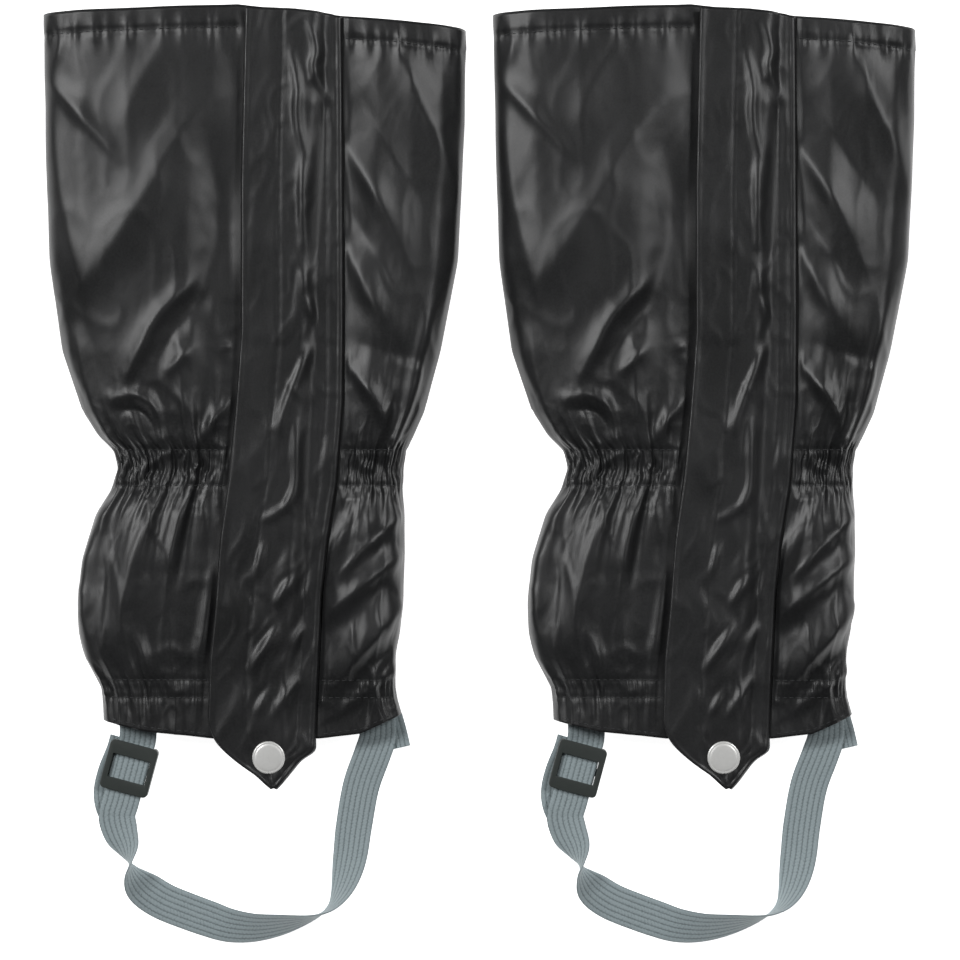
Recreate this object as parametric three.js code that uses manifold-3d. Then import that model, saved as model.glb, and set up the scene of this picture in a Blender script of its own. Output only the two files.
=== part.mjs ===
// A pair of front-opening hiking gaiters, laid out flat on their backs.
// Millimetres, +Z up. The pair rests on Z = 0, the legs run along Y with the
// calf openings at +Y, and the origin is under the middle of the pair.
import * as THREE from 'three';
import { mergeVertices } from 'three/addons/utils/BufferGeometryUtils.js';
import Module from 'manifold-3d';

const wasm = await Module();
wasm.setup();

// ---- overall sizes of one gaiter, lying flat ----
const PAIR_PITCH = 243.5;
const LEG_LENGTH = 387;
const TOP_WIDTH = 227.7;
const CALF_WIDTH = 220;
const WAIST_WIDTH = 155;
const ANKLE_WIDTH = 173.6;
const HEM_WIDTH = 161;
const HEM_Y = -137;

// ---- cloth and the depth of the laid-out leg ----
const CLOTH = 0.8;
const PLACKET_Z = 20;
const CALF_PUFF = 5;
const ANKLE_PUFF = 4;
const SIDE_Z = 8;
const CLEARANCE = 0.3;

// ---- elastics sewn inside the leg ----
const ELASTIC = 1;
const TOP_ELASTIC_WIDTH = 8;
const CALF_ELASTIC_WIDTH = 19;
const ANKLE_ELASTIC_WIDTH = 8;
const TOP_ELASTIC_SHARE = 0.982;
const CALF_ELASTIC_SHARE = 0.367;
const ANKLE_ELASTIC_SHARE = 0.06;

// ---- zip ----
const ZIP_LEAN = THREE.MathUtils.degToRad(2.5);
const ZIP_X_AT_HEM = 6;
const ZIP_MOUTH = 7;
const ZIP_TAPE_WIDTH = 9;
const ZIP_TAPE = 0.6;
const TOOTH_ROW_WIDTH = 1.95;
const TOOTH_ROW_HEIGHT = 2.2;
const TOOTH_ROW_GAP = 1.3;
const ZIP_TOP_INSET = 10;
const ZIP_BOTTOM_INSET = 16;
const ZIP_STOP = 2;
const RETAINER_LENGTH = 8;
const SLIDER_LENGTH = 10;
const SLIDER_WIDTH = 9;
const SLIDER_PLATE = 0.9;
const BAIL_WINDOW = 1.5;
const BAIL_BAR = 0.5;
const BAIL_LENGTH = 6;
const BAIL_WIDTH = 1.4;
const TAB_LENGTH = 24;
const TAB_WIDTH = 6;
const TAB = 0.9;

// ---- storm flap and its tapes ----
const FLAP = 1;
const FLAP_RAMP = 9;
const HINGE_OFFSET = 19;
const GRIP_TAPE_WIDTH = 15;
const GRIP_TAPE_INSET = 1;
const LOOP_TAPE = 1.4;
const HOOK_TAPE = 1.3;
const TOE_DROP = 29;
const TOE_X = 7;

// ---- snap fastener ----
const SNAP_X = 3.5;
const SNAP_DROP = 13;
const CAP_R = 8.8;
const CAP_HEIGHT = 1.5;
const SOCKET_R = 6;
const SOCKET_HOLE_R = 2.6;
const STUD_R = 5;
const STUD_BALL_R = 2;
const POST_R = 4.5;
const SHANK_R = 1.2;
const SHANK_CLEARANCE = 0.4;
const SNAP_METAL = 0.5;

// ---- foot strap and tri-glide buckle ----
const WEBBING_WIDTH = 20;
const WEBBING = 1.5;
const STRAP_HINGE_DROP = 4;
const ANCHOR_LENGTH = 13;
const STRAP_TILT = THREE.MathUtils.degToRad(15);
const STRAIGHT_RUN = 45;
const BUCKLE_LENGTH = 27;
const BUCKLE_RAIL = 3;
const BUCKLE_TOP_BAR = 7.4;
const BUCKLE_LOW_BAR = 6.6;
const BUCKLE_MIDDLE_BAR = 4;
const BUCKLE_BAR = 2.2;
const BUCKLE_LOW_THICKNESS = 1.1;
const BUCKLE_CORNER = 2.5;
const BUCKLE_START = 4;

// ---- heights of the layers at the placket, worked out from the cloth up ----
const clothTop = PLACKET_Z + CLOTH / 2;
const clothUnder = PLACKET_Z - CLOTH / 2;
const onCloth = clothTop + CLEARANCE;
const hingeZ = onCloth + FLAP;
const hookZ = onCloth + LOOP_TAPE + CLEARANCE;
const flapUnder = hookZ + HOOK_TAPE + CLEARANCE;
const flapTop = flapUnder + FLAP;
const zipTapeZ = clothUnder - CLEARANCE - ZIP_TAPE;
const toothZ = clothUnder + 0.1 - TOOTH_ROW_HEIGHT;
const tabZ = onCloth + SLIDER_PLATE + CLEARANCE;

// ---- heights of the strap layers ----
const middleBarZ = WEBBING + CLEARANCE;
const strapZ = middleBarZ + BUCKLE_LOW_THICKNESS + CLEARANCE;
const strapTop = strapZ + WEBBING;
const topBarZ = strapTop + CLEARANCE;
const hingeY = HEM_Y - STRAP_HINGE_DROP;
const HALF_GAP = CLEARANCE / 2;

// Silhouette from the hem (0) to the calf opening (1):
// share of the leg, width, middle of the width, puff of the front.
const SILHOUETTE = [
  [0, HEM_WIDTH, -1.2, 0],
  [0.065, HEM_WIDTH - 2.4, -3, 0.5],
  [0.106, ANKLE_WIDTH - 7.3, -7.5, 2],
  [0.16, ANKLE_WIDTH, -7.2, ANKLE_PUFF],
  [0.24, ANKLE_WIDTH - 2.6, -5.2, ANKLE_PUFF],
  [0.302, ANKLE_WIDTH - 8.8, -1.8, 2],
  [0.346, WAIST_WIDTH, 2.5, 0],
  [0.38, WAIST_WIDTH + 0.2, 3, 0],
  [0.444, CALF_WIDTH - 38, -0.6, 2.5],
  [0.53, CALF_WIDTH - 17, -1.7, CALF_PUFF],
  [0.656, CALF_WIDTH, -0.6, CALF_PUFF],
  [0.85, CALF_WIDTH + 6, 0.6, CALF_PUFF - 1],
  [1, TOP_WIDTH, 0, 2],
];

// How far the flap's free edge and its seam lie from the zip line.
const FREE_EDGE = [
  [0, 29.7], [0.097, 30.3], [0.17, 28.7], [0.265, 27.5], [0.35, 24.4],
  [0.444, 22.4], [0.55, 21.1], [0.765, 24.7], [1, 26.5],
];
const SEAM = [
  [0, 27.5], [0.193, 27.7], [0.265, 29.3], [0.35, 33.1],
  [0.464, 34.5], [0.593, 32.6], [0.806, 28.7], [1, 24.9],
];

// Drop of the two ends of the leg across its width, from side (-1) to side (1).
const TOP_EDGE = [[-1, 0], [-0.07, 4], [0.25, 0], [0.45, -2.7], [0.7, -5], [1, -8.5]];
const HEM_EDGE = [[-1, 6], [-0.68, 0], [-0.25, -3.5], [0.45, -3.5], [0.72, -1], [1, 9.5]];

function along(table, x, column = 1) {
  const last = table.length - 1;
  if (x <= table[0][0]) return table[0][column];
  if (x >= table[last][0]) return table[last][column];
  const i = table.findIndex((row) => row[0] >= x);
  const [a, b] = [table[i - 1], table[i]];
  return a[column] + ((x - a[0]) / (b[0] - a[0])) * (b[column] - a[column]);
}

function zipX(y) {
  return ZIP_X_AT_HEM + (y - HEM_Y) * Math.tan(ZIP_LEAN);
}

// Slant of the leg's ends, faded out towards the middle of the leg.
function endDrop(x, share) {
  const top = THREE.MathUtils.clamp((share - 0.85) / 0.15, 0, 1);
  const hem = THREE.MathUtils.clamp((0.065 - share) / 0.065, 0, 1);
  return top * along(TOP_EDGE, x) + hem * along(HEM_EDGE, x);
}

// ---- solids ----
function closedMesh(vertices, faces) {
  const geometry = new THREE.BufferGeometry();
  geometry.setAttribute('position', new THREE.Float32BufferAttribute(vertices.flat(), 3));
  geometry.setIndex(faces.flat());
  geometry.computeVertexNormals();
  return geometry;
}

// A sheet of cloth with thickness: two grids of points, joined round the rim.
function sheetSolid(outer, inner) {
  const rows = outer.length;
  const columns = outer[0].length;
  const vertices = [...outer.flat(), ...inner.flat()];
  const at = (side, i, k) => side * rows * columns + i * columns + k;
  const faces = [];
  const quad = (a, b, c, d) => faces.push([a, b, c], [a, c, d]);
  for (let i = 0; i < rows - 1; i += 1) {
    for (let k = 0; k < columns - 1; k += 1) {
      quad(at(0, i, k), at(0, i, k + 1), at(0, i + 1, k + 1), at(0, i + 1, k));
      quad(at(1, i, k), at(1, i + 1, k), at(1, i + 1, k + 1), at(1, i, k + 1));
    }
    quad(at(0, i, 0), at(0, i + 1, 0), at(1, i + 1, 0), at(1, i, 0));
    const e = columns - 1;
    quad(at(0, i + 1, e), at(0, i, e), at(1, i, e), at(1, i + 1, e));
  }
  for (let k = 0; k < columns - 1; k += 1) {
    quad(at(0, 0, k + 1), at(0, 0, k), at(1, 0, k), at(1, 0, k + 1));
    const e = rows - 1;
    quad(at(0, e, k), at(0, e, k + 1), at(1, e, k + 1), at(1, e, k));
  }
  const insideOut = signedVolume(vertices, faces) < 0;
  return closedMesh(vertices, insideOut ? faces.map(([a, b, c]) => [a, c, b]) : faces);
}

function signedVolume(vertices, faces) {
  const corner = new THREE.Vector3();
  const [b, c] = [new THREE.Vector3(), new THREE.Vector3()];
  return faces.reduce((sum, [i, j, k]) => {
    corner.set(...vertices[i]);
    b.set(...vertices[j]);
    c.set(...vertices[k]);
    return sum + corner.dot(b.cross(c));
  }, 0);
}

function slab(outline, low, high, holes = []) {
  const points = outline.map(([x, y]) => new THREE.Vector2(x, y));
  if (THREE.ShapeUtils.isClockWise(points)) points.reverse();
  const shape = new THREE.Shape(points);
  for (const [x, y, r] of holes) {
    shape.holes.push(new THREE.Path().absarc(x, y, r, 0, 2 * Math.PI, true));
  }
  const options = { depth: high - low, bevelEnabled: false, curveSegments: 8 };
  return new THREE.ExtrudeGeometry(shape, options).translate(0, 0, low);
}

function box(x, y, z) {
  const geometry = new THREE.BoxGeometry(x[1] - x[0], y[1] - y[0], z[1] - z[0]);
  return geometry.translate((x[0] + x[1]) / 2, (y[0] + y[1]) / 2, (z[0] + z[1]) / 2);
}

function turned(profile) {
  const points = profile.map(([r, z]) => new THREE.Vector2(r, z));
  return new THREE.LatheGeometry(points, 20).rotateX(Math.PI / 2);
}

function solid(geometry) {
  const bare = geometry.clone();
  bare.deleteAttribute('normal');
  bare.deleteAttribute('uv');
  const merged = mergeVertices(bare, 1e-4);
  const vertProperties = new Float32Array(merged.attributes.position.array);
  const index = merged.index.array;
  const triangles = [];
  for (let i = 0; i < index.length; i += 3) {
    const [a, b, c] = index.slice(i, i + 3);
    if (a !== b && b !== c && c !== a) triangles.push(a, b, c);
  }
  const triVerts = new Uint32Array(triangles);
  return new wasm.Manifold(new wasm.Mesh({ numProp: 3, vertProperties, triVerts }));
}

function meshed(manifold) {
  const { vertProperties, triVerts } = manifold.getMesh();
  const geometry = new THREE.BufferGeometry();
  geometry.setAttribute('position', new THREE.BufferAttribute(vertProperties, 3));
  geometry.setIndex(new THREE.BufferAttribute(triVerts, 1));
  geometry.computeVertexNormals();
  return geometry;
}

// ---- the leg's cross-section ----
// Middle line of the cloth on one side (-1 or 1), from the placket edge, over the
// front, round the side and along the back to the centre-back seam.
function halfSection(side, share, placketGap) {
  const y = HEM_Y + share * LEG_LENGTH;
  const middle = along(SILHOUETTE, share, 2);
  const edge = middle + side * (along(SILHOUETTE, share) / 2);
  const puff = along(SILHOUETTE, share, 3);
  const flat = along(side < 0 ? FREE_EDGE : SEAM, share) + 2;
  const near = zipX(y) + side * placketGap;
  const far = zipX(y) + side * flat;
  const out = (f) => far + f * (edge - far);
  return [
    [near, PLACKET_Z],
    [far, PLACKET_Z],
    [out(0.25), PLACKET_Z + puff],
    [out(0.55), PLACKET_Z + 0.9 * puff],
    [out(0.8), PLACKET_Z - 2 + 0.4 * puff],
    [out(0.95), PLACKET_Z - 6],
    [edge - side * (CLOTH / 2), SIDE_Z],
    [edge - side * 2.2, 3],
    [edge - side * 6, CLOTH / 2],
    [(edge + middle) / 2, CLOTH / 2],
    [middle + side * HALF_GAP, CLOTH / 2],
  ];
}

// Points of a section moved sideways, inwards when the distance is positive.
function offsetLine(line, distance) {
  return line.map((point, i) => {
    const before = line[Math.max(i - 1, 0)];
    const after = line[Math.min(i + 1, line.length - 1)];
    const unit = (a, b) => {
      const length = Math.hypot(b[0] - a[0], b[1] - a[1]) || 1;
      return [(b[0] - a[0]) / length, (b[1] - a[1]) / length];
    };
    const [p, q] = [unit(before, point), unit(point, after)];
    const [dx, dz] = i === 0 ? q : i === line.length - 1 ? p : [p[0] + q[0], p[1] + q[1]];
    const length = Math.hypot(dx, dz);
    const mitre = i === 0 || i === line.length - 1 ? 1 : 2 / length;
    return [point[0] - (dz / length) * mitre * distance, point[1] + (dx / length) * mitre * distance];
  });
}

// A line of the section placed in space at its height up the leg.
function placed(line, share) {
  const middle = along(SILHOUETTE, share, 2);
  const half = along(SILHOUETTE, share) / 2;
  return line.map(([x, z]) => [
    x,
    HEM_Y + share * LEG_LENGTH + endDrop((x - middle) / half, share),
    z,
  ]);
}

function panel(side) {
  const grids = [-1, 1].map((face) => SILHOUETTE.map(([share]) => {
    const line = halfSection(side, share, ZIP_MOUTH / 2);
    return placed(offsetLine(line, -side * face * (CLOTH / 2)), share);
  }));
  return sheetSolid(...grids);
}

// An elastic runs inside the leg from one zip tape, round the back, to the other.
function elastic(share, width) {
  const half = width / 2 / LEG_LENGTH;
  const gap = ZIP_MOUTH / 2 + ZIP_TAPE_WIDTH + 1;
  const depth = CLOTH / 2 + 2 * CLEARANCE;
  const between = SILHOUETTE.map(([s]) => s).filter((s) => s > share - half && s < share + half);
  const rows = [share - half, ...between, share + half];
  const grids = [depth, depth + ELASTIC].map((inset) => rows.map((at) => {
    const left = halfSection(-1, at, gap).slice(0, -1);
    const right = halfSection(1, at, gap).slice(0, -1).reverse();
    return placed(offsetLine([...left, ...right], inset), at);
  }));
  return sheetSolid(...grids);
}

// ---- placket pieces, in a frame whose Y runs up the zip from the hem ----
function edgeRun(table, side, inset, low, high) {
  const shares = table.map(([share]) => share).filter((s) => s * LEG_LENGTH > low && s * LEG_LENGTH < high);
  const stops = [low / LEG_LENGTH, ...shares, high / LEG_LENGTH];
  return stops.map((share) => [side * (along(table, share) + inset), share * LEG_LENGTH]);
}

function flapOutline() {
  const topY = LEG_LENGTH + 3;
  return [
    ...edgeRun(FREE_EDGE, -1, 0, 4, topY),
    [HINGE_OFFSET - HALF_GAP, topY - 2],
    [HINGE_OFFSET - HALF_GAP, -0.55 * TOE_DROP],
    [TOE_X + 8, -0.7 * TOE_DROP],
    [TOE_X, -TOE_DROP],
    [-3.5, -0.77 * TOE_DROP],
    [-15, -0.51 * TOE_DROP],
    [-26.6, -0.12 * TOE_DROP],
  ];
}

// The flap starts level with its hinge line and rises over the tapes and the zip.
function stormFlap() {
  const rise = flapUnder - onCloth;
  const profile = [
    [HINGE_OFFSET, onCloth],
    [HINGE_OFFSET, hingeZ],
    [HINGE_OFFSET - FLAP_RAMP, hingeZ + rise],
    [-60, hingeZ + rise],
    [-60, onCloth + rise],
    [HINGE_OFFSET - FLAP_RAMP, onCloth + rise],
  ];
  const reach = LEG_LENGTH + 2 * TOE_DROP;
  const lengthwise = slab(profile, 0, reach).rotateX(Math.PI / 2).translate(0, reach - 1.5 * TOE_DROP, 0);
  const cut = slab(flapOutline(), hingeZ - 5, flapTop + 5, [[SNAP_X, -SNAP_DROP, SHANK_R + SHANK_CLEARANCE]]);
  return meshed(solid(lengthwise).intersect(solid(cut)));
}

function flapBand() {
  const seam = edgeRun(SEAM, 1, 0, 0, LEG_LENGTH);
  const outline = [
    [HINGE_OFFSET + HALF_GAP, LEG_LENGTH],
    [HINGE_OFFSET + HALF_GAP, -0.5 * TOE_DROP],
    [27.5, -0.28 * TOE_DROP],
    ...seam,
  ];
  return slab(outline, onCloth, hingeZ);
}

// Hook or loop tape near the flap's free edge, narrow enough to clear the slider.
function gripTape(low, high) {
  const bottom = 18;
  const top = LEG_LENGTH - 6;
  const outerEdge = edgeRun(FREE_EDGE, -1, -GRIP_TAPE_INSET, bottom, top);
  const innerEdge = edgeRun(FREE_EDGE, -1, -GRIP_TAPE_INSET - GRIP_TAPE_WIDTH, bottom, top).reverse();
  return slab([...outerEdge, ...innerEdge], low, high);
}

const zipTop = LEG_LENGTH - ZIP_TOP_INSET;
const zipBottom = ZIP_BOTTOM_INSET;

function zipTape(side) {
  const near = side * (TOOTH_ROW_GAP / 2 + TOOTH_ROW_WIDTH + CLEARANCE);
  const x = [near, near + side * ZIP_TAPE_WIDTH].sort((a, b) => a - b);
  return box(x, [zipBottom - RETAINER_LENGTH, zipTop + 4], [zipTapeZ, zipTapeZ + ZIP_TAPE]);
}

function toothRow(side, low, high) {
  const x = [side * (TOOTH_ROW_GAP / 2), side * (TOOTH_ROW_GAP / 2 + TOOTH_ROW_WIDTH)].sort((a, b) => a - b);
  return box(x, [low, high], [toothZ, toothZ + TOOTH_ROW_HEIGHT]);
}

function retainerBox() {
  const half = TOOTH_ROW_GAP / 2 + TOOTH_ROW_WIDTH - 0.1;
  const high = zipBottom - CLEARANCE;
  return box([-half, half], [high - RETAINER_LENGTH, high], [toothZ - 0.3, toothZ + TOOTH_ROW_HEIGHT + 0.3]);
}

const sliderY = zipTop - ZIP_STOP - CLEARANCE - SLIDER_LENGTH / 2;

// Slider: two plates joined by a thin neck between the rows, and a bail on top.
function zipSlider() {
  const half = SLIDER_LENGTH / 2;
  const wide = SLIDER_WIDTH / 2;
  const plate = [
    [-wide, sliderY + 0.4 * half], [-0.6 * wide, sliderY + half], [0.6 * wide, sliderY + half],
    [wide, sliderY + 0.4 * half], [0.7 * wide, sliderY - half], [-0.7 * wide, sliderY - half],
  ].reverse();
  const plateTop = onCloth + SLIDER_PLATE;
  const under = toothZ - CLEARANCE;
  const neck = TOOTH_ROW_GAP / 2 - CLEARANCE;
  const bailTop = plateTop + BAIL_WINDOW + BAIL_BAR;
  const bailHalf = BAIL_LENGTH / 2;
  const bail = box([-BAIL_WIDTH / 2, BAIL_WIDTH / 2], [sliderY - bailHalf, sliderY + bailHalf], [plateTop - 0.2, bailTop]);
  const window = box([-5, 5], [sliderY - bailHalf + 1, sliderY + bailHalf - 1], [plateTop, plateTop + BAIL_WINDOW]);
  return meshed(solid(slab(plate, onCloth, plateTop))
    .add(solid(slab(plate, under - SLIDER_PLATE, under)))
    .add(solid(box([-neck, neck], [sliderY + 1, sliderY + half - 0.5], [under - 0.2, onCloth + 0.2])))
    .add(solid(bail).subtract(solid(window))));
}

// Pull tab: its eye loops round the bail, and the tab lies down the zip.
function pullTab() {
  const half = TAB_WIDTH / 2;
  const top = sliderY + TAB / 2;
  const outline = [
    [-half, top], [-half, top - TAB_LENGTH + 2], [-half + 2, top - TAB_LENGTH],
    [half - 2, top - TAB_LENGTH], [half, top - TAB_LENGTH + 2], [half, top],
  ];
  const eye = box([-1.3, 1.3], [sliderY - 6, sliderY - TAB / 2], [tabZ - 1, tabZ + TAB + 1]);
  return meshed(solid(slab(outline, tabZ, tabZ + TAB)).subtract(solid(eye)));
}

function underTab() {
  const outline = [
    [-20, 11], [-20, -5], [-13, -12.5], [-4.5, -19], [6, -23.5],
    [9, -16], [9, -8.5], [3, -6], [-4.8, -5], [-4.8, 11],
  ];
  const hole = [SNAP_X, -SNAP_DROP, SHANK_R + SHANK_CLEARANCE];
  return slab(outline, onCloth, onCloth + CLOTH, [hole]);
}

const studZ = onCloth + CLOTH + CLEARANCE;
const socketZ = studZ + SNAP_METAL + CLEARANCE;
const postZ = onCloth - CLEARANCE;
const capZ = flapTop + CLEARANCE;

function snapCap() {
  return turned([
    [0, flapUnder], [SHANK_R, flapUnder], [SHANK_R, capZ], [CAP_R - 0.6, capZ], [CAP_R, capZ + 0.4],
    [CAP_R - 0.3, capZ + 0.9], [CAP_R - 1.3, capZ + CAP_HEIGHT - 0.2], [CAP_R - 2.2, capZ + CAP_HEIGHT - 0.3],
    [3, capZ + CAP_HEIGHT], [0, capZ + CAP_HEIGHT],
  ]);
}

function snapSocket() {
  const top = flapUnder - CLEARANCE;
  return turned([
    [SOCKET_HOLE_R, socketZ], [SOCKET_R, socketZ], [SOCKET_R, top],
    [SOCKET_HOLE_R, top], [SOCKET_HOLE_R, socketZ],
  ]);
}

function snapStud() {
  const flange = studZ + SNAP_METAL;
  return turned([
    [0, studZ], [STUD_R, studZ], [STUD_R, flange], [STUD_BALL_R - 0.4, flange],
    [STUD_BALL_R, flange + 0.5], [STUD_BALL_R - 0.5, flange + 0.9], [0, flange + 0.9],
  ]);
}

function snapPost() {
  return turned([
    [0, postZ - 0.8], [POST_R, postZ - 0.8], [POST_R, postZ],
    [SHANK_R, postZ], [SHANK_R, studZ - CLEARANCE], [0, studZ - CLEARANCE],
  ]);
}

// ---- foot strap ----
const HEM_MIDDLE_X = SILHOUETTE[0][2];
const STRAP_LEFT_X = HEM_MIDDLE_X - HEM_WIDTH / 2 + 7.9 + WEBBING_WIDTH / 2;
const STRAP_RIGHT_X = HEM_MIDDLE_X + HEM_WIDTH / 2 - 2.8 - WEBBING_WIDTH / 2;
const strapStep = [-Math.sin(STRAP_TILT), -Math.cos(STRAP_TILT)];
const strapStart = [STRAP_LEFT_X, hingeY - HALF_GAP];
const onStrap = (d) => [strapStart[0] + d * strapStep[0], strapStart[1] + d * strapStep[1]];

// Middle of the webbing from the sewn end, under the foot, to the buckle:
// x, y and the height of its underside.
const STRAP_PATH = [
  [STRAP_RIGHT_X, hingeY - HALF_GAP, strapZ],
  [62.5, -152, 2.2], [57, -169, 0], [53.5, -190, 0], [50.5, -210, 0], [43, -228, 0],
  [29, -238.5, 0], [10, -243, 0], [-10, -244.3, 0], [-22, -242.5, 0], [-38, -237.5, 0], [-53, -230, 0],
  [-65, -219, 0], [-71, -206, 0.5], [-74.5, -195, 1.8],
  [...onStrap(STRAIGHT_RUN), strapZ],
  [...onStrap(0), strapZ],
];

// A flat ribbon along points that give x, y and the height of its underside.
function ribbon(path, width, thickness, endNormals) {
  const grids = [thickness, 0].map((lift) => path.map(([x, y, z], i) => {
    const before = path[Math.max(i - 1, 0)];
    const after = path[Math.min(i + 1, path.length - 1)];
    const length = Math.hypot(after[0] - before[0], after[1] - before[1]);
    const across = endNormals[i] ?? [-(after[1] - before[1]) / length, (after[0] - before[0]) / length];
    return [-1, 1].map((s) => [x + (s * across[0] * width) / 2, y + (s * across[1] * width) / 2, z + lift]);
  }));
  return sheetSolid(...grids);
}

function footStrap() {
  const last = STRAP_PATH.length - 1;
  const square = [-strapStep[1], strapStep[0]];
  return ribbon(STRAP_PATH, WEBBING_WIDTH, WEBBING, {
    0: [1, 0], [last - 1]: [-square[0], -square[1]], [last]: [-1, 0],
  });
}

// The doubled-back end of the webbing, lying under the buckle.
function strapTail() {
  const path = [
    [-68.5, hingeY - 1, 0], [-70.5, hingeY - 9, 0], [-76, hingeY - 24, 0],
    [-78.5, hingeY - 36, 0], [-75.5, hingeY - 44, 0],
  ];
  return ribbon(path, WEBBING_WIDTH - 2, WEBBING, { 0: [1, 0] });
}

function strapAnchor(x) {
  const half = WEBBING_WIDTH / 2 - 0.6;
  const low = hingeY + HALF_GAP;
  return box([x - half, x + half], [low, low + ANCHOR_LENGTH], [strapZ, strapTop]);
}

// Tri-glide: the webbing runs under both outer bars and over the middle one.
function buckle() {
  const inner = WEBBING_WIDTH / 2 + CLEARANCE;
  const half = inner + BUCKLE_RAIL;
  const [low, high] = [-BUCKLE_LENGTH / 2, BUCKLE_LENGTH / 2];
  const r = BUCKLE_CORNER;
  const shape = new THREE.Shape();
  shape.absarc(half - r, high - r, r, 0, Math.PI / 2);
  shape.absarc(-half + r, high - r, r, Math.PI / 2, Math.PI);
  shape.absarc(-half + r, low + r, r, Math.PI, 1.5 * Math.PI);
  shape.absarc(half - r, low + r, r, 1.5 * Math.PI, 2 * Math.PI);
  const top = topBarZ + BUCKLE_BAR;
  const options = { depth: top - middleBarZ, bevelEnabled: false, curveSegments: 4 };
  const plate = new THREE.ExtrudeGeometry(shape, options).translate(0, 0, middleBarZ);
  const x = [-inner, inner];
  const mid = BUCKLE_MIDDLE_BAR / 2;
  const channel = box(x, [low - 1, high + 1], [strapZ - CLEARANCE, topBarZ]);
  const window = box(x, [low + BUCKLE_LOW_BAR, high - BUCKLE_TOP_BAR], [topBarZ - 1, top + 1]);
  const below = [[low - 1, -mid], [mid, high + 1]].map((y) => box(x, y, [middleBarZ - 1, strapZ - CLEARANCE + 0.5]));
  return meshed([channel, window, ...below].reduce((body, cut) => body.subtract(solid(cut)), solid(plate)));
}

// ---- finishes ----
const FINISHES = {
  shell: [0x2b2c2e, 0.55, 0],
  lining: [0x232425, 0.7, 0],
  grip: [0x1b1b1c, 0.95, 0],
  zip: [0x1e1f20, 0.6, 0],
  zipMetal: [0x6c6d6e, 0.4, 0.8],
  snap: [0xc9cac8, 0.3, 0.9],
  webbing: [0x7e8b8e, 0.85, 0],
  plastic: [0x353a38, 0.45, 0],
};

function piece(name, geometry, finish) {
  const [color, roughness, metalness] = FINISHES[finish];
  const mesh = new THREE.Mesh(geometry, new THREE.MeshStandardMaterial({ color, roughness, metalness }));
  mesh.name = name;
  return mesh;
}

function leg(prefix) {
  const group = new THREE.Group();
  group.add(piece(`${prefix}_loop_panel`, panel(-1), 'shell'));
  group.add(piece(`${prefix}_flap_panel`, panel(1), 'shell'));
  group.add(piece(`${prefix}_top_elastic`, elastic(TOP_ELASTIC_SHARE, TOP_ELASTIC_WIDTH), 'lining'));
  group.add(piece(`${prefix}_calf_elastic`, elastic(CALF_ELASTIC_SHARE, CALF_ELASTIC_WIDTH), 'lining'));
  group.add(piece(`${prefix}_ankle_elastic`, elastic(ANKLE_ELASTIC_SHARE, ANKLE_ELASTIC_WIDTH), 'lining'));
  return group;
}

function placket(prefix) {
  const group = new THREE.Group();
  group.add(piece(`${prefix}_storm_flap`, stormFlap(), 'shell'));
  group.add(piece(`${prefix}_flap_seam_band`, flapBand(), 'shell'));
  group.add(piece(`${prefix}_loop_tape`, gripTape(onCloth, onCloth + LOOP_TAPE), 'grip'));
  group.add(piece(`${prefix}_hook_tape`, gripTape(hookZ, hookZ + HOOK_TAPE), 'grip'));
  group.add(piece(`${prefix}_under_tab`, underTab(), 'shell'));
  for (const [side, word] of [[-1, 'loop'], [1, 'flap']]) {
    group.add(piece(`${prefix}_zip_tape_${word}_side`, zipTape(side), 'zip'));
    group.add(piece(`${prefix}_zip_teeth_${word}_side`, toothRow(side, zipBottom, zipTop - ZIP_STOP - CLEARANCE), 'zip'));
    group.add(piece(`${prefix}_zip_stop_${word}_side`, toothRow(side, zipTop - ZIP_STOP, zipTop), 'zipMetal'));
  }
  group.add(piece(`${prefix}_zip_retainer_box`, retainerBox(), 'zip'));
  group.add(piece(`${prefix}_zip_slider`, zipSlider(), 'zipMetal'));
  group.add(piece(`${prefix}_zip_pull_tab`, pullTab(), 'zipMetal'));
  const snaps = [['snap_cap', snapCap], ['snap_socket', snapSocket], ['snap_stud', snapStud], ['snap_post', snapPost]];
  for (const [word, make] of snaps) {
    const snap = piece(`${prefix}_${word}`, make(), 'snap');
    snap.position.set(SNAP_X, -SNAP_DROP, 0);
    group.add(snap);
  }
  group.position.set(ZIP_X_AT_HEM, HEM_Y, 0);
  group.rotation.z = -ZIP_LEAN;
  return group;
}

function stirrup(prefix) {
  const group = new THREE.Group();
  group.add(piece(`${prefix}_foot_strap`, footStrap(), 'webbing'));
  group.add(piece(`${prefix}_strap_tail`, strapTail(), 'webbing'));
  group.add(piece(`${prefix}_strap_anchor_buckle_side`, strapAnchor(STRAP_LEFT_X), 'webbing'));
  group.add(piece(`${prefix}_strap_anchor_sewn_side`, strapAnchor(STRAP_RIGHT_X), 'webbing'));
  const glide = piece(`${prefix}_strap_buckle`, buckle(), 'plastic');
  glide.position.set(...onStrap(BUCKLE_START + BUCKLE_LENGTH / 2), 0);
  glide.rotation.z = -STRAP_TILT;
  group.add(glide);
  return group;
}

const pair = new THREE.Group();
for (const [prefix, side] of [['left', -1], ['right', 1]]) {
  const gaiter = new THREE.Group();
  gaiter.add(leg(prefix), placket(prefix), stirrup(prefix));
  gaiter.position.x = (side * PAIR_PITCH) / 2;
  pair.add(gaiter);
}

export default pair;
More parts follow.
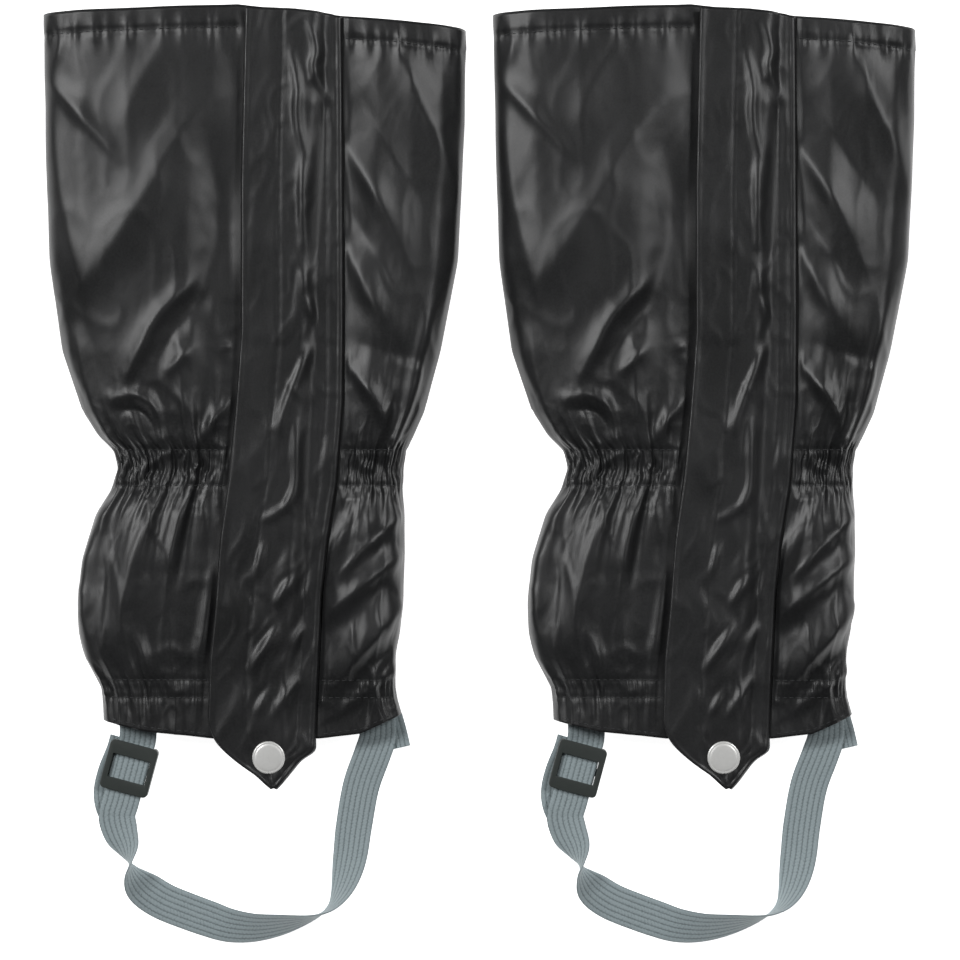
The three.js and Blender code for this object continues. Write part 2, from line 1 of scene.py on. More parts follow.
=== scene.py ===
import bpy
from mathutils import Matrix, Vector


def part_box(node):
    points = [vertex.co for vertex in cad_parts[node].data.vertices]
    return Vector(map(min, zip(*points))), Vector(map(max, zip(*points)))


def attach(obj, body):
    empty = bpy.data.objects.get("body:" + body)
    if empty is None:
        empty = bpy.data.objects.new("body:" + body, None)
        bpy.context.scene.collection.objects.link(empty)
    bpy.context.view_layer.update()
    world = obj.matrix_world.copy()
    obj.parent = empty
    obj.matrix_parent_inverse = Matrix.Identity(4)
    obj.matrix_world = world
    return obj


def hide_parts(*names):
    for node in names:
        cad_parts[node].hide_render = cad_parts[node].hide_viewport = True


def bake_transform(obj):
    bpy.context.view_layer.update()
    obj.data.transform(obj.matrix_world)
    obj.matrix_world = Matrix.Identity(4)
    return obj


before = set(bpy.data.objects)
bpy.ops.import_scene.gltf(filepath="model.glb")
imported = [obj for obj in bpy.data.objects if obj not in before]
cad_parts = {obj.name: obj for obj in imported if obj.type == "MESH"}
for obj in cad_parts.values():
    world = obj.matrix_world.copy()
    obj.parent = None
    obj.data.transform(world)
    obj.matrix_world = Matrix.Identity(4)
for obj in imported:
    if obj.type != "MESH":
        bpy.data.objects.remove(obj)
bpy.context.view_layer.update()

import math

import bmesh
import bpy
import numpy as np
from mathutils import Matrix, Vector
from mathutils.bvhtree import BVHTree

# The pale, faintly glowing table that the pair lies on, big soft lamps far off and the
# camera, which hangs straight over the middle of the pair and looks down.
LENS = 100
SENSOR = 36
FIELD = 0.5194
CLOTH_HEIGHT = 0.010
OVER_THE_PAIR = (0.0003, -0.0016, FIELD * LENS / SENSOR + CLOTH_HEIGHT)

camera_data = bpy.data.cameras.new("camera")
camera_data.lens = LENS
camera_data.sensor_width = SENSOR
camera_data.clip_start = 0.01
camera = bpy.data.objects.new("camera", camera_data)
camera.location = OVER_THE_PAIR
bpy.context.collection.objects.link(camera)
bpy.context.scene.camera = camera

LAMP_SIDE = 1.8


def soft_lamp(name, place, watts):
    """A square soft lamp that points at the middle of the pair."""
    data = bpy.data.lights.new(name, "AREA")
    data.shape = "RECTANGLE"
    data.size = LAMP_SIDE
    data.size_y = LAMP_SIDE
    data.energy = watts
    lamp = bpy.data.objects.new(name, data)
    lamp.location = place
    lamp.rotation_mode = "QUATERNION"
    lamp.rotation_quaternion = (Vector((0, 0, 0)) - Vector(place)).to_track_quat("-Z", "Y")
    bpy.context.collection.objects.link(lamp)


soft_lamp("lamp_upper_left", (-4.6, 3.0, 6.6), 360)
soft_lamp("lamp_upper_right", (4.6, 3.0, 6.6), 250)

world = bpy.data.worlds.new("studio")
world.use_nodes = True
studio_light = world.node_tree.nodes["Background"]
studio_light.inputs["Color"].default_value = (1, 1, 1, 1)
studio_light.inputs["Strength"].default_value = 0.09
bpy.context.scene.world = world
bpy.context.scene.view_settings.view_transform = "Standard"

TABLE_REACH = 6
TABLE_TOP = -0.0005
table_corners = [
    (x * TABLE_REACH, y * TABLE_REACH, TABLE_TOP) for x, y in ((-1, -1), (1, -1), (1, 1), (-1, 1))]
table_mesh = bpy.data.meshes.new("table")
table_mesh.from_pydata(table_corners, [], [(0, 1, 2, 3)])
table = bpy.data.objects.new("table", table_mesh)
bpy.context.collection.objects.link(table)
table_paint = bpy.data.materials.new("table_paint")
table_paint.use_nodes = True
table_shader = table_paint.node_tree.nodes["Principled BSDF"]
table_shader.inputs["Base Color"].default_value = (0.93, 0.93, 0.93, 1)
table_shader.inputs["Roughness"].default_value = 0.9
table_shader.inputs["Emission Color"].default_value = (1, 1, 1, 1)
table_shader.inputs["Emission Strength"].default_value = 0.92
table_mesh.materials.append(table_paint)

# The cloth of one leg: light satin-faced polyester in two panels, joined down the
# middle of the back, open down the front at the zip, and turned in at both ends.
# Elastic gathers it under the calf and at the ankle.
MM = 0.001
GAITERS = ("left", "right")
pitch = (Vector(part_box("right_snap_cap")[0]) - Vector(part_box("left_snap_cap")[0])).x
LEG_X = -pitch / 2 / MM
HEM_Y = -137.0
LEG_LENGTH = 387.0
ZIP_LEAN = math.radians(2.5)
ZIP_X_AT_HEM = 6.0
ZIP_MOUTH = 7.0
# Heights of the front beside the zip and of the leg's widest line, and the cloth's thickness.
PLACKET_Z = 20.4
SIDE_Z = 8.0
CLOTH = 0.7
# Rows of stitching: the two of each casing, and how far the top hem's is from the edge.
WAIST_LINES = (-4.5, 14.6)
WAIST_MIDDLE = sum(WAIST_LINES) / 2
ANKLE_LINES = (-118.5, -109.0)
ANKLE_MIDDLE = sum(ANKLE_LINES) / 2
TOP_STITCH = 12.0

# Share of the leg above the hem, left edge, right edge, puff of the front.
SILHOUETTE = np.array([
    [0.0, -82.6, 80.4, 0], [0.03, -83.0, 78.2, 0], [0.06, -84.0, 77.0, 0.6],
    [0.106, -93.2, 77.0, 3], [0.135, -96.0, 79.4, 4.4], [0.18, -96.6, 81.2, 5], [0.24, -94.2, 82.0, 5],
    [0.302, -87.0, 82.0, 3.4], [0.335, -79.0, 81.0, 1.2], [0.366, -75.0, 80.8, 0],
    [0.39, -77.0, 82.4, 1.0], [0.412, -86.0, 86.8, 2.8], [0.444, -94.0, 92.4, 4.5],
    [0.53, -105.4, 101.6, 6], [0.656, -112.2, 111.0, 6], [0.85, -114.2, 114.8, 5], [1.0, -115.6, 115.0, 2],
])
# Half widths of the storm flap, left and right of the zip, by share of the leg above the hem.
FREE_EDGE = np.array([
    [0, 29.7], [0.097, 30.3], [0.17, 28.7], [0.265, 27.5], [0.35, 24.4],
    [0.444, 22.4], [0.55, 21.1], [0.765, 24.7], [1, 26.5],
])
SEAM = np.array([
    [0, 27.5], [0.193, 27.7], [0.265, 29.3], [0.35, 33.1],
    [0.464, 34.5], [0.593, 32.6], [0.806, 28.7], [1, 24.9],
])
# Rise of the top edge and of the hem across the leg, from its left side (-1) to its right (1).
TOP_EDGE = np.array([[-1, 0], [-0.07, 4], [0.25, 0], [0.45, -2.7], [0.7, -5], [1, -8.5]])
HEM_EDGE = np.array([[-1, 6], [-0.68, 0], [-0.25, -3.5], [0.45, -3.5], [0.72, -1], [1, 9.5]])
# Columns of the weave grid between the turning points of the cross-section.
SPANS = (26, 14, 22, 19, 12, 7, 4, 4, 16, 14)
# Rows of the grid: share of the leg and row number, closest at the two elastics.
ROW_STOPS = np.array([[0, 0], [0.1, 32], [0.27, 72], [0.31, 84], [0.46, 140], [0.54, 160], [1, 252]])
SHARES = np.interp(np.arange(ROW_STOPS[-1, 1] + 1), ROW_STOPS[:, 1], ROW_STOPS[:, 0])


def read(rows, at):
    """A value read off a table of places and values."""
    return np.interp(at, rows[:, 0], rows[:, 1])


def zip_x(y):
    return ZIP_X_AT_HEM + (y - HEM_Y) * math.tan(ZIP_LEAN)


def smoothed(grid, passes, axis):
    """The grid with its kinks along one axis worn down, its ends left where they are."""
    out = np.moveaxis(grid, axis, 0).copy()
    for _ in range(passes):
        out[1:-1] = 0.25 * out[:-2] + 0.5 * out[1:-1] + 0.25 * out[2:]
    return np.moveaxis(out, 0, axis)


def half_ring(side, share, left, right, puff):
    """Cross-section of one half of the leg, from the zip round its side to the middle of the back."""
    y = HEM_Y + share * LEG_LENGTH
    middle = (left + right) / 2
    edge = left if side < 0 else right
    near = zip_x(y) + side * ZIP_MOUTH / 2
    far = zip_x(y) + side * (read(FREE_EDGE if side < 0 else SEAM, share) + 2)

    def out(share_out):
        return far + share_out * (edge - far)

    corners = np.array([
        [near, PLACKET_Z], [far, PLACKET_Z], [out(0.25), PLACKET_Z + 0.8 * puff],
        [out(0.55), PLACKET_Z + 0.85 * puff], [out(0.8), PLACKET_Z - 0.6 + 0.5 * puff],
        [out(0.95), PLACKET_Z - 4.4], [edge, SIDE_Z], [edge - side * 2.2, 3],
        [edge - side * 6, CLOTH], [(edge + middle) / 2, CLOTH], [middle, CLOTH],
    ])
    steps = [np.linspace(a, b, n, endpoint=False) for a, b, n in zip(corners, corners[1:], SPANS)]
    return np.vstack([*steps, corners[-1:]])


def laid_leg(shares):
    """The leg as it lies, before it is creased: grids of x, y and z, front left to front right."""
    left, right, puff = (np.interp(shares, SILHOUETTE[:, 0], SILHOUETTE[:, k]) for k in (1, 2, 3))
    left, right, puff = (smoothed(v[:, None], 3, 0)[:, 0] for v in (left, right, puff))
    rings = []
    for cut in zip(shares, left, right, puff):
        loop_half, flap_half = half_ring(-1, *cut), half_ring(1, *cut)
        rings.append(np.vstack([loop_half, flap_half[::-1][1:]]))
    rings = smoothed(np.array(rings), 10, 1)
    across = (rings[:, :, 0] - ((left + right) / 2)[:, None]) / ((right - left) / 2)[:, None]
    top = np.clip((shares - 0.85) / 0.15, 0, 1)[:, None]
    hem = np.clip((0.065 - shares) / 0.065, 0, 1)[:, None]
    y = (HEM_Y + shares * LEG_LENGTH)[:, None] + top * read(TOP_EDGE, across) + hem * read(HEM_EDGE, across)
    return rings[:, :, 0], y, rings[:, :, 1]


def faces_out(x, y, z):
    """Unit vectors that point out of the cloth at each crossing of the grid."""
    p = np.stack([x, y, z], -1)
    n = np.cross(np.gradient(p, axis=0), np.gradient(p, axis=1))
    return n / np.linalg.norm(n, axis=2, keepdims=True)


def fold(x, y, route, height, width, shade=1.0):
    """A crease along a route: height at the crest, width each side, times shade on the right."""
    route = np.array(route, float)
    for _ in range(2):
        # cut the corners, so that the crease runs in a curve
        corners = np.stack([0.75 * route[:-1] + 0.25 * route[1:], 0.25 * route[:-1] + 0.75 * route[1:]], 1)
        route = np.vstack([route[:1], corners.reshape(-1, 2), route[-1:]])
    lengths = np.linalg.norm(np.diff(route, axis=0), axis=1)
    whole, walked = lengths.sum(), 0.0
    best = np.full(x.shape, 1e9)
    signed, along = np.zeros(x.shape), np.zeros(x.shape)
    for a, b, length in zip(route, route[1:], lengths):
        d = (b - a) / length
        t = np.clip((x - a[0]) * d[0] + (y - a[1]) * d[1], 0, length)
        dx, dy = x - a[0] - t * d[0], y - a[1] - t * d[1]
        away = np.hypot(dx, dy)
        closer = away < best
        best = np.where(closer, away, best)
        signed = np.where(closer, np.sign(d[0] * dy - d[1] * dx) * away, signed)
        along = np.where(closer, (walked + t) / whole, along)
        walked += length
    side = np.where(signed < 0, width * shade, width)
    fade = np.sin(np.pi * np.clip(0.06 + 0.88 * along, 0, 1)) ** 0.7
    return height * fade * np.exp(-np.abs(signed / side) ** 1.6)


DRIFT_WAVES = 18


def drift(shape_x, shape_y, scale, seed):
    """Smooth random heights between -1 and 1, with bumps about the size of scale."""
    rng = np.random.default_rng(seed)
    waves = rng.normal(size=(DRIFT_WAVES, 2)) / scale * 2.2
    phase = rng.uniform(0, 2 * np.pi, DRIFT_WAVES)
    total = sum(np.sin(shape_x * wx + shape_y * wy + p) for (wx, wy), p in zip(waves, phase))
    return total / 5


def crumple(x, y, scale, seed):
    """A net of sharp little creases, between -0.5 and 0.5."""
    bend_x = x + 0.35 * scale * drift(x, y, scale * 1.4, seed + 100)
    bend_y = y + 0.35 * scale * drift(x, y, scale * 1.4, seed + 200)
    return 0.5 - np.minimum(np.abs(drift(bend_x, bend_y, scale, seed)) * 1.8, 1)


def gathers(along, y, line, reach, pitch_mm, depth, seed):
    """Tucks that run off an elastic: fine and deep at the stitching, wider and lower beyond."""
    rng = np.random.default_rng(seed)
    far = np.abs(y - line) / reach
    sway = 1.6 * drift(along, y * 0.25, 34, seed + 1)
    total = np.zeros(along.shape)
    for octave, weight in ((1.0, 1.0), (1.63, 0.55), (0.58, 0.7)):
        close = np.exp(-(far * octave) ** 1.3)
        wave = np.cos(2 * np.pi * along * octave / pitch_mm + sway * octave + rng.uniform(0, 6.28))
        total += weight * close * (1 - 2 * np.sqrt(np.clip((1 - wave) / 2, 0, 1)))
    return depth * total


# Each fold: its route, how high it stands, how wide, and how wide its right side is beside that.
FRONT_FOLDS = [
    # upper left: a long crease from the side, a broad soft ridge, and sharp ones above the elastic
    ([(-112, 216), (-94, 196), (-72, 171)], 1.5, 5, 0.7),
    ([(-108, 192), (-103, 150), (-91, 96)], 1.2, 5, 1.2),
    ([(-22, 204), (-46, 174), (-56, 152), (-72, 130), (-92, 98)], 2.4, 10, 1.0),
    ([(-44, 238), (-60, 214), (-68, 192)], 0.8, 7, 0.8),
    ([(-24, 184), (-15, 126), (-38, 84)], -2.4, 11, 1.0),
    ([(-31, 105), (-50, 88), (-61, 66), (-70, 49)], 2.6, 3.4, 1.5),
    ([(-24, 98), (-42, 80), (-52, 60)], -2.2, 6, 1.0),
    ([(-76, 42), (-62, 45), (-51, 37), (-47, 20)], 2.4, 4.0, 0.8),
    ([(-72, 36), (-60, 36), (-54, 28)], -2.0, 3.2, 1.0),
    ([(-33, 69), (-46, 56)], 1.4, 3.0, 0.8),
    ([(-12, 42), (-22, 30), (-30, 16)], 2.2, 4.0, 0.8),
    ([(-96, 110), (-86, 66), (-78, 30)], -2.0, 8, 0.9),
    ([(-12, 72), (-16, 68)], 1.2, 2.4, 0.8),
    ([(-102, 240), (-106, 222)], 1.0, 3.0, 0.8),
    # upper right: soft ridges that run down from the seam to the side
    ([(74, 236), (84, 217), (100, 182), (110, 150)], 2.6, 9, 0.8),
    ([(49, 180), (68, 150), (80, 122)], 2.8, 8, 0.7),
    ([(50, 124), (62, 101), (73, 82)], 2.4, 7, 0.8),
    ([(52, 60), (65, 44), (73, 28), (70, 14)], 3.2, 6, 0.7),
    ([(52, 74), (72, 66), (95, 62)], -1.3, 7, 1.0),
    ([(50, 146), (64, 122), (76, 104)], -1.6, 7, 1.0),
    ([(56, 206), (76, 172), (92, 146)], -1.8, 9, 1.0),
    ([(98, 96), (88, 66), (80, 34)], 1.4, 6, 0.7),
    # lower left: long ridges from one elastic to the other
    ([(-54, -8), (-59, -24), (-65, -48), (-73, -82), (-70, -102)], 3.2, 5, 2.2),
    ([(-40, -8), (-43, -28), (-45, -52)], 2.0, 4, 2.0),
    ([(-80, -12), (-90, -40), (-92, -72), (-86, -98)], 2.6, 4, 1.4),
    ([(-68, -12), (-78, -44), (-82, -80)], -3.0, 7, 1.0),
    ([(-22, -50), (-24, -72), (-28, -98)], 2.2, 4, 0.8),
    ([(-64, -84), (-58, -96), (-54, -110)], 2.0, 4.0, 0.8),
    ([(-32, -20), (-42, -60), (-46, -96)], -3.0, 12, 1.0),
    # lower right: broad slanting ridges, as if the cloth were twisted
    ([(40, -60), (56, -42), (80, -18)], 5.2, 11, 0.45),
    ([(36, -80), (56, -60), (80, -40)], 6.4, 13, 0.4),
    ([(40, -118), (56, -96), (80, -66)], 7.2, 16, 0.35),
    ([(44, -128), (62, -114), (80, -100)], 2.4, 7, 0.5),
]
BACK_FOLDS = [
    ([(-96, 210), (-50, 150), (-20, 110)], 1.2, 9, 0.8),
    ([(90, 214), (50, 160), (34, 90)], 1.2, 10, 0.8),
    ([(-80, 90), (-52, 50), (-44, 22)], 1.5, 6, 0.7),
    ([(76, 96), (50, 58), (40, 24)], 1.5, 6, 0.7),
    ([(-70, -20), (-40, -60), (-30, -100)], 1.4, 6, 0.7),
    ([(66, -18), (38, -54), (30, -100)], 1.4, 6, 0.7),
]


# How hard each stretch of the calf elastic pulls, strongest on the left of the front.
GRIP_AT = (-80, -60, -34, -8, 40, 60, 80)
GRIP_PULL = (1.0, 1.3, 1.15, 0.6, 0.4, 0.65, 1.0)
ANKLE_AT = (-80, -30, 36, 80)
ANKLE_PULL = (1.0, 0.8, 0.5, 0.7)


def front_wrinkles(x, y):
    """The front's folds, a slow drift, and small crumples that are strongest at the elastics."""
    near_waist = np.exp(-np.abs(y - WAIST_MIDDLE) / 34)
    near_ankle = np.exp(-np.abs(y - ANKLE_MIDDLE) / 20)
    creases = sum(fold(x, y, *f) for f in FRONT_FOLDS)
    broad = 0.7 * drift(x * 1.3 + y * 0.5, y * 0.7, 44, 3) * (1 - near_waist)
    small = (0.25 + 0.9 * near_waist + 0.8 * near_ankle) * crumple(x * 1.25, y * 0.62, 17, 5)
    small += (0.05 + 0.3 * near_waist + 0.3 * near_ankle) * crumple(x * 1.3, y * 0.6, 7.5, 9)
    return creases + broad + small


def back_wrinkles(x, y):
    creases = 0.6 * sum(fold(x, y, *f) for f in BACK_FOLDS)
    return creases + 0.4 * drift(x, y, 24, 8) + 0.3 * crumple(x, y, 19, 12)


def calf_tucks(x, y, around, front):
    """Tight tucks inside the calf casing, and longer ripples that run off it both ways."""
    pull = np.where(front > 0.3, np.interp(x, GRIP_AT, GRIP_PULL), 0.8)
    in_casing = np.exp(-((y - WAIST_MIDDLE) / 12) ** 4)
    lean = around + 0.9 * np.sin((y - WAIST_MIDDLE) / 3.1 + 2 * drift(around, y, 12, 14))
    tight = np.cos(2 * np.pi * lean / 4.7 + 1.3 * drift(around, y * 0.4, 15, 15))
    tight += 0.5 * np.cos(2 * np.pi * lean / 3.1 + 1.9 * drift(around, y * 0.5, 18, 16))
    tucks = 0.85 * in_casing * tight + gathers(around, y, WAIST_MIDDLE, 24, 11, 0.9, 17)
    ripples = gathers(around, y, WAIST_MIDDLE, 52, 23, 0.9, 21)
    return pull * (tucks + ripples)


def ankle_tucks(x, y, around):
    tucks = gathers(around, y, ANKLE_MIDDLE, 8, 7.4, 0.7, 31)
    ripples = gathers(around, y, ANKLE_MIDDLE, 26, 15, 0.75, 37)
    return np.interp(x, ANKLE_AT, ANKLE_PULL) * (tucks + ripples)


def top_puckers(around, from_top):
    close = np.exp(-np.abs(from_top - TOP_STITCH) / 9)
    return close * gathers(around, from_top, TOP_STITCH, 8, 7.2, 0.55, 41)


def sewn_lines(y, from_top):
    """Stitching draws the cloth in, and the turned top hem stands a little proud above its own."""
    drawn = sum(0.35 * np.exp(-((y - line) / 1.3) ** 2) for line in (*WAIST_LINES, *ANKLE_LINES))
    drawn += 0.45 * np.exp(-((from_top - TOP_STITCH) / 1.2) ** 2)
    return 0.4 / (1 + np.exp((from_top - TOP_STITCH + 1) / 0.8)) - drawn


def creased_leg():
    """The laid leg with its folds, tucks, hems and casings worked into it."""
    shares = SHARES[:, None]
    x, y, z = laid_leg(SHARES)
    out = faces_out(x, y, z)
    steps_x, steps_z = (np.diff(g, axis=1, prepend=g[:, :1]) for g in (x, z))
    around = np.cumsum(np.hypot(steps_x, steps_z), axis=1).mean(axis=0)[None, :] * np.ones_like(x)
    from_top = y[-1][None, :] - y
    front = np.clip(out[:, :, 2] * 1.6, 0, 1)
    back = np.clip(-out[:, :, 2] * 1.6, 0, 1)
    # the cloth beside the zip is held flat under the storm flap
    past_left = zip_x(y) - read(FREE_EDGE, shares) + 1 - x
    past_right = x - zip_x(y) - read(SEAM, shares) - 0.5
    off_placket = np.where(x < zip_x(y), np.clip(past_left / 7, 0, 1), np.clip(past_right / 3, 0, 1))
    loose = front * off_placket
    free = np.where(front > 0.01, loose, 0.75)
    lift = loose * front_wrinkles(x, y) + back * back_wrinkles(x, y)
    gathered = calf_tucks(x, y, around, front) + ankle_tucks(x, y, around) + top_puckers(around, from_top)
    lift += free * (gathered + sewn_lines(y, from_top))
    # underneath, the cloth can't go into the table
    lift = np.where(out[:, :, 2] < -0.8, np.minimum(lift, 0.1), lift)
    z_new = np.maximum(z + out[:, :, 2] * lift, CLOTH * 0.5)
    return x + out[:, :, 0] * lift, y + out[:, :, 1] * lift, z_new


def grid_mesh(name, x, y, z):
    """Cloth as a grid of quads, in metres, at the left gaiter's place."""
    rows, columns = x.shape
    points = np.stack([x + LEG_X, y, z], -1).reshape(-1, 3) * MM
    i, k = np.meshgrid(np.arange(rows - 1), np.arange(columns - 1), indexing="ij")
    a = (i * columns + k).ravel()
    quads = np.stack([a, a + columns, a + columns + 1, a + 1], 1)
    mesh = bpy.data.meshes.new(name)
    mesh.from_pydata(points.tolist(), [], quads.tolist())
    mesh.polygons.foreach_set("use_smooth", np.ones(len(quads), bool))
    mesh.update()
    return mesh


def pair_of(word, mesh, material, body, thick=0.0, offset=-1.0):
    """One piece for each gaiter: the right one is the left one moved across."""
    made = []
    for gaiter in GAITERS:
        own = mesh if gaiter == "left" else mesh.copy()
        own.name = f"{gaiter}_{word}"
        if gaiter == "right":
            own.transform(Matrix.Translation((pitch, 0, 0)))
        piece = bpy.data.objects.new(f"{gaiter}_{word}", own)
        own.materials.clear()
        own.materials.append(material)
        bpy.context.collection.objects.link(piece)
        if thick:
            cloth = piece.modifiers.new("thickness", "SOLIDIFY")
            cloth.thickness = thick * MM
            cloth.offset = offset
        if body:
            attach(piece, f"{gaiter}_{body}")
        made.append(piece)
    return made


def wired(name, rough, **sockets):
    """A new material with its shader's own sockets set, and a shortcut for adding nodes."""
    material = bpy.data.materials.new(name)
    material.use_nodes = True
    tree = material.node_tree
    shader = tree.nodes["Principled BSDF"]
    shader.inputs["Roughness"].default_value = rough
    for socket, value in sockets.items():
        shader.inputs[socket.replace("_", " ")].default_value = value

    def add(kind, **settings):
        node = tree.nodes.new(kind)
        for key, value in settings.items():
            if hasattr(node, key):
                setattr(node, key, value)
            else:
                node.inputs[key.replace("_", " ")].default_value = value
        return node

    return material, tree, shader, add


def two_tones(ramp, low, dark, light):
    """Sets a colour ramp: dark up to low, then lighter up to its end."""
    first, last = ramp.color_ramp.elements
    first.position = low
    first.color = (*dark, 1)
    last.position = 1.0
    last.color = (*light, 1)


WEAVE_SCALE = 620.0
CLOTH_DARK = (0.0055, 0.0058, 0.0062)
CLOTH_WORN = (0.0160, 0.0164, 0.0172)


def shell_satin():
    """Dark polyester: fine plain weave, soft shine, patches a little lighter where it is worn."""
    material, tree, shader, add = wired(
        "shell_satin", 0.42, Sheen_Weight=0.04, Sheen_Roughness=0.35, Specular_IOR_Level=0.5)
    place = add("ShaderNodeTexCoord")
    link = tree.links.new
    warp = add("ShaderNodeTexWave", bands_direction="X", Scale=WEAVE_SCALE, Distortion=0.6)
    weft = add("ShaderNodeTexWave", bands_direction="Y", Scale=WEAVE_SCALE, Distortion=0.6)
    cloud = add("ShaderNodeTexNoise", Scale=22.0, Detail=4.0)
    slub = add("ShaderNodeTexNoise", Scale=900.0, Detail=2.0)
    for node in (warp, weft, cloud, slub):
        link(place.outputs["Object"], node.inputs["Vector"])
    weave = add("ShaderNodeMath", operation="ADD")
    link(warp.outputs["Fac"], weave.inputs[0])
    link(weft.outputs["Fac"], weave.inputs[1])
    mixed = add("ShaderNodeMath", operation="ADD")
    link(weave.outputs[0], mixed.inputs[0])
    link(slub.outputs["Fac"], mixed.inputs[1])
    tint = add("ShaderNodeValToRGB")
    two_tones(tint, 0.6, CLOTH_DARK, CLOTH_WORN)
    grain = add("ShaderNodeMath", operation="MULTIPLY_ADD")
    grain.inputs[1].default_value = 0.7
    link(slub.outputs["Fac"], grain.inputs[0])
    link(cloud.outputs["Fac"], grain.inputs[2])
    link(grain.outputs[0], tint.inputs["Fac"])
    link(tint.outputs["Color"], shader.inputs["Base Color"])
    gloss = add("ShaderNodeMapRange")
    gloss.inputs["To Min"].default_value = 0.33
    gloss.inputs["To Max"].default_value = 0.42
    link(cloud.outputs["Fac"], gloss.inputs["Value"])
    link(gloss.outputs["Result"], shader.inputs["Roughness"])
    bump = add("ShaderNodeBump", Strength=0.09, Distance=0.0003)
    link(mixed.outputs[0], bump.inputs["Height"])
    link(bump.outputs["Normal"], shader.inputs["Normal"])
    return material


shell = shell_satin()
leg_x, leg_y, leg_z = creased_leg()
CENTRE_BACK = sum(SPANS)
loop_panel = grid_mesh("loop_panel_cloth", *(g[:, :CENTRE_BACK + 1] for g in (leg_x, leg_y, leg_z)))
flap_panel = grid_mesh("flap_panel_cloth", *(g[:, CENTRE_BACK:] for g in (leg_x, leg_y, leg_z)))
for word, mesh in (("loop_panel", loop_panel), ("flap_panel", flap_panel)):
    for gaiter, cloth in zip(GAITERS, pair_of(f"{word}_cloth", mesh, shell, "leg", CLOTH)):
        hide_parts(f"{gaiter}_{word}")

# The storm flap: a long doubled strip of the same cloth that covers the zip. It is
# sewn down along its right side by two rows of stitching and ends in a pointed toe tab.
FLAP_Z = 25.0
BAND_Z = 21.7
HINGE_OFFSET = 19.0
FLAP_RAMP = 9.0
FLAP_ROWS = 230
FLAP_COLUMNS = 44
FLAP_CLOTH = 0.9
FLAP_TOP = LEG_LENGTH + 1.2
TOE_ROWS = 24
# Sunk rows of stitching: the grip tape's from the left edge, the seam's from the right.
TAPE_ROW = 20
SEAM_ROWS = (3.2, 9.4)
# Toe of the flap: distance above the hem, left edge, right edge.
TOE = np.array([
    [-29.5, 5.6, 8.2], [-28.6, 4.2, 9.2], [-22.3, -3.5, 14.0], [-18, -10.5, 17.2], [-14.8, -15, 19.5],
    [-12, -18.6, 22.2], [-9.0, -22.0, 28.0], [-7.6, -23.4, 27.9], [-3.5, -26.6, 27.6], [4, -29.7, 27.5],
])
TOE_TOP = TOE[-1, 0]
FLAP_FOLDS = [
    # a chain of soft ridges and hollows between the tape's row and the seam, from calf to toe
    ([(-1, 364), (4, 346), (3, 330), (8, 311)], 1.3, 2.8, 0.7),
    ([(8, 308), (8, 292), (10, 262)], 1.4, 2.8, 0.7),
    ([(8, 380), (14, 366), (10, 357), (19, 341)], 1.2, 2.4, 0.8),
    ([(18, 336), (16, 300), (18, 262)], -0.7, 4.0, 1.0),
    ([(11, 248), (12, 236)], 0.8, 2.4, 0.8),
    ([(13, 234), (17, 221)], 1.0, 2.4, 0.8),
    ([(15, 206), (6, 181), (1, 162)], 1.3, 3.0, 0.7),
    ([(10, 166), (12, 135), (8, 122), (-5, 114)], 1.4, 3.0, 0.7),
    ([(16, 160), (18, 130)], -0.6, 4.0, 1.0),
    ([(-4, 101), (-8, 83)], 1.0, 2.4, 0.7),
    ([(11, 82), (4, 69)], 1.2, 3.0, 0.7),
    ([(6, 58), (-8, 34)], 1.3, 3.0, 0.7),
    ([(20, 60), (12, 46)], 1.0, 2.8, 0.8),
    ([(2, 23), (-4, 10)], 1.2, 2.8, 0.8),
    ([(18, 31), (5, 10)], 1.2, 3.0, 0.8),
    # and faint ones on the stretch that the tape holds flat
    ([(-16, 300), (-18, 240)], 0.3, 5.0, 1.0),
    ([(-12, 120), (-18, 90)], 0.35, 5.0, 1.0),
    ([(-24, 206), (0, 202), (10, 210)], -0.5, 3.0, 1.0),
]


def flap_outline():
    """Rows up the flap, with its left and right edges, pointed at the toe."""
    toe_rows = np.linspace(TOE[0, 0], TOE_TOP, TOE_ROWS, endpoint=False)
    up = np.concatenate([toe_rows, np.linspace(TOE_TOP, FLAP_TOP, FLAP_ROWS - TOE_ROWS)])
    share = np.clip(up / LEG_LENGTH, 0, 1)
    left = np.where(up < TOE_TOP, np.interp(up, TOE[:, 0], TOE[:, 1]), -read(FREE_EDGE, share))
    right = np.where(up < TOE_TOP, np.interp(up, TOE[:, 0], TOE[:, 2]), read(SEAM, share))
    left, right = (smoothed(v[:, None], 2, 0) for v in (left, right))
    return up[:, None], left, right


def flap_waves(x, y):
    """Small uneven waves, strongest near the toe and weakest where the tape holds the cloth."""
    waves = 0.16 * drift(x * 1.4, y * 0.6, 10, 51) + 0.3 * drift(x, y, 30, 52)
    waves += 0.3 * crumple(x * 1.2, y * 0.8, 14, 53)
    waves *= np.interp(x, [-20, -6, 6, 30], [0.5, 0.7, 1.0, 0.8])
    return waves * np.interp(y, [0, 120, 260], [2.4, 1.8, 1.0])


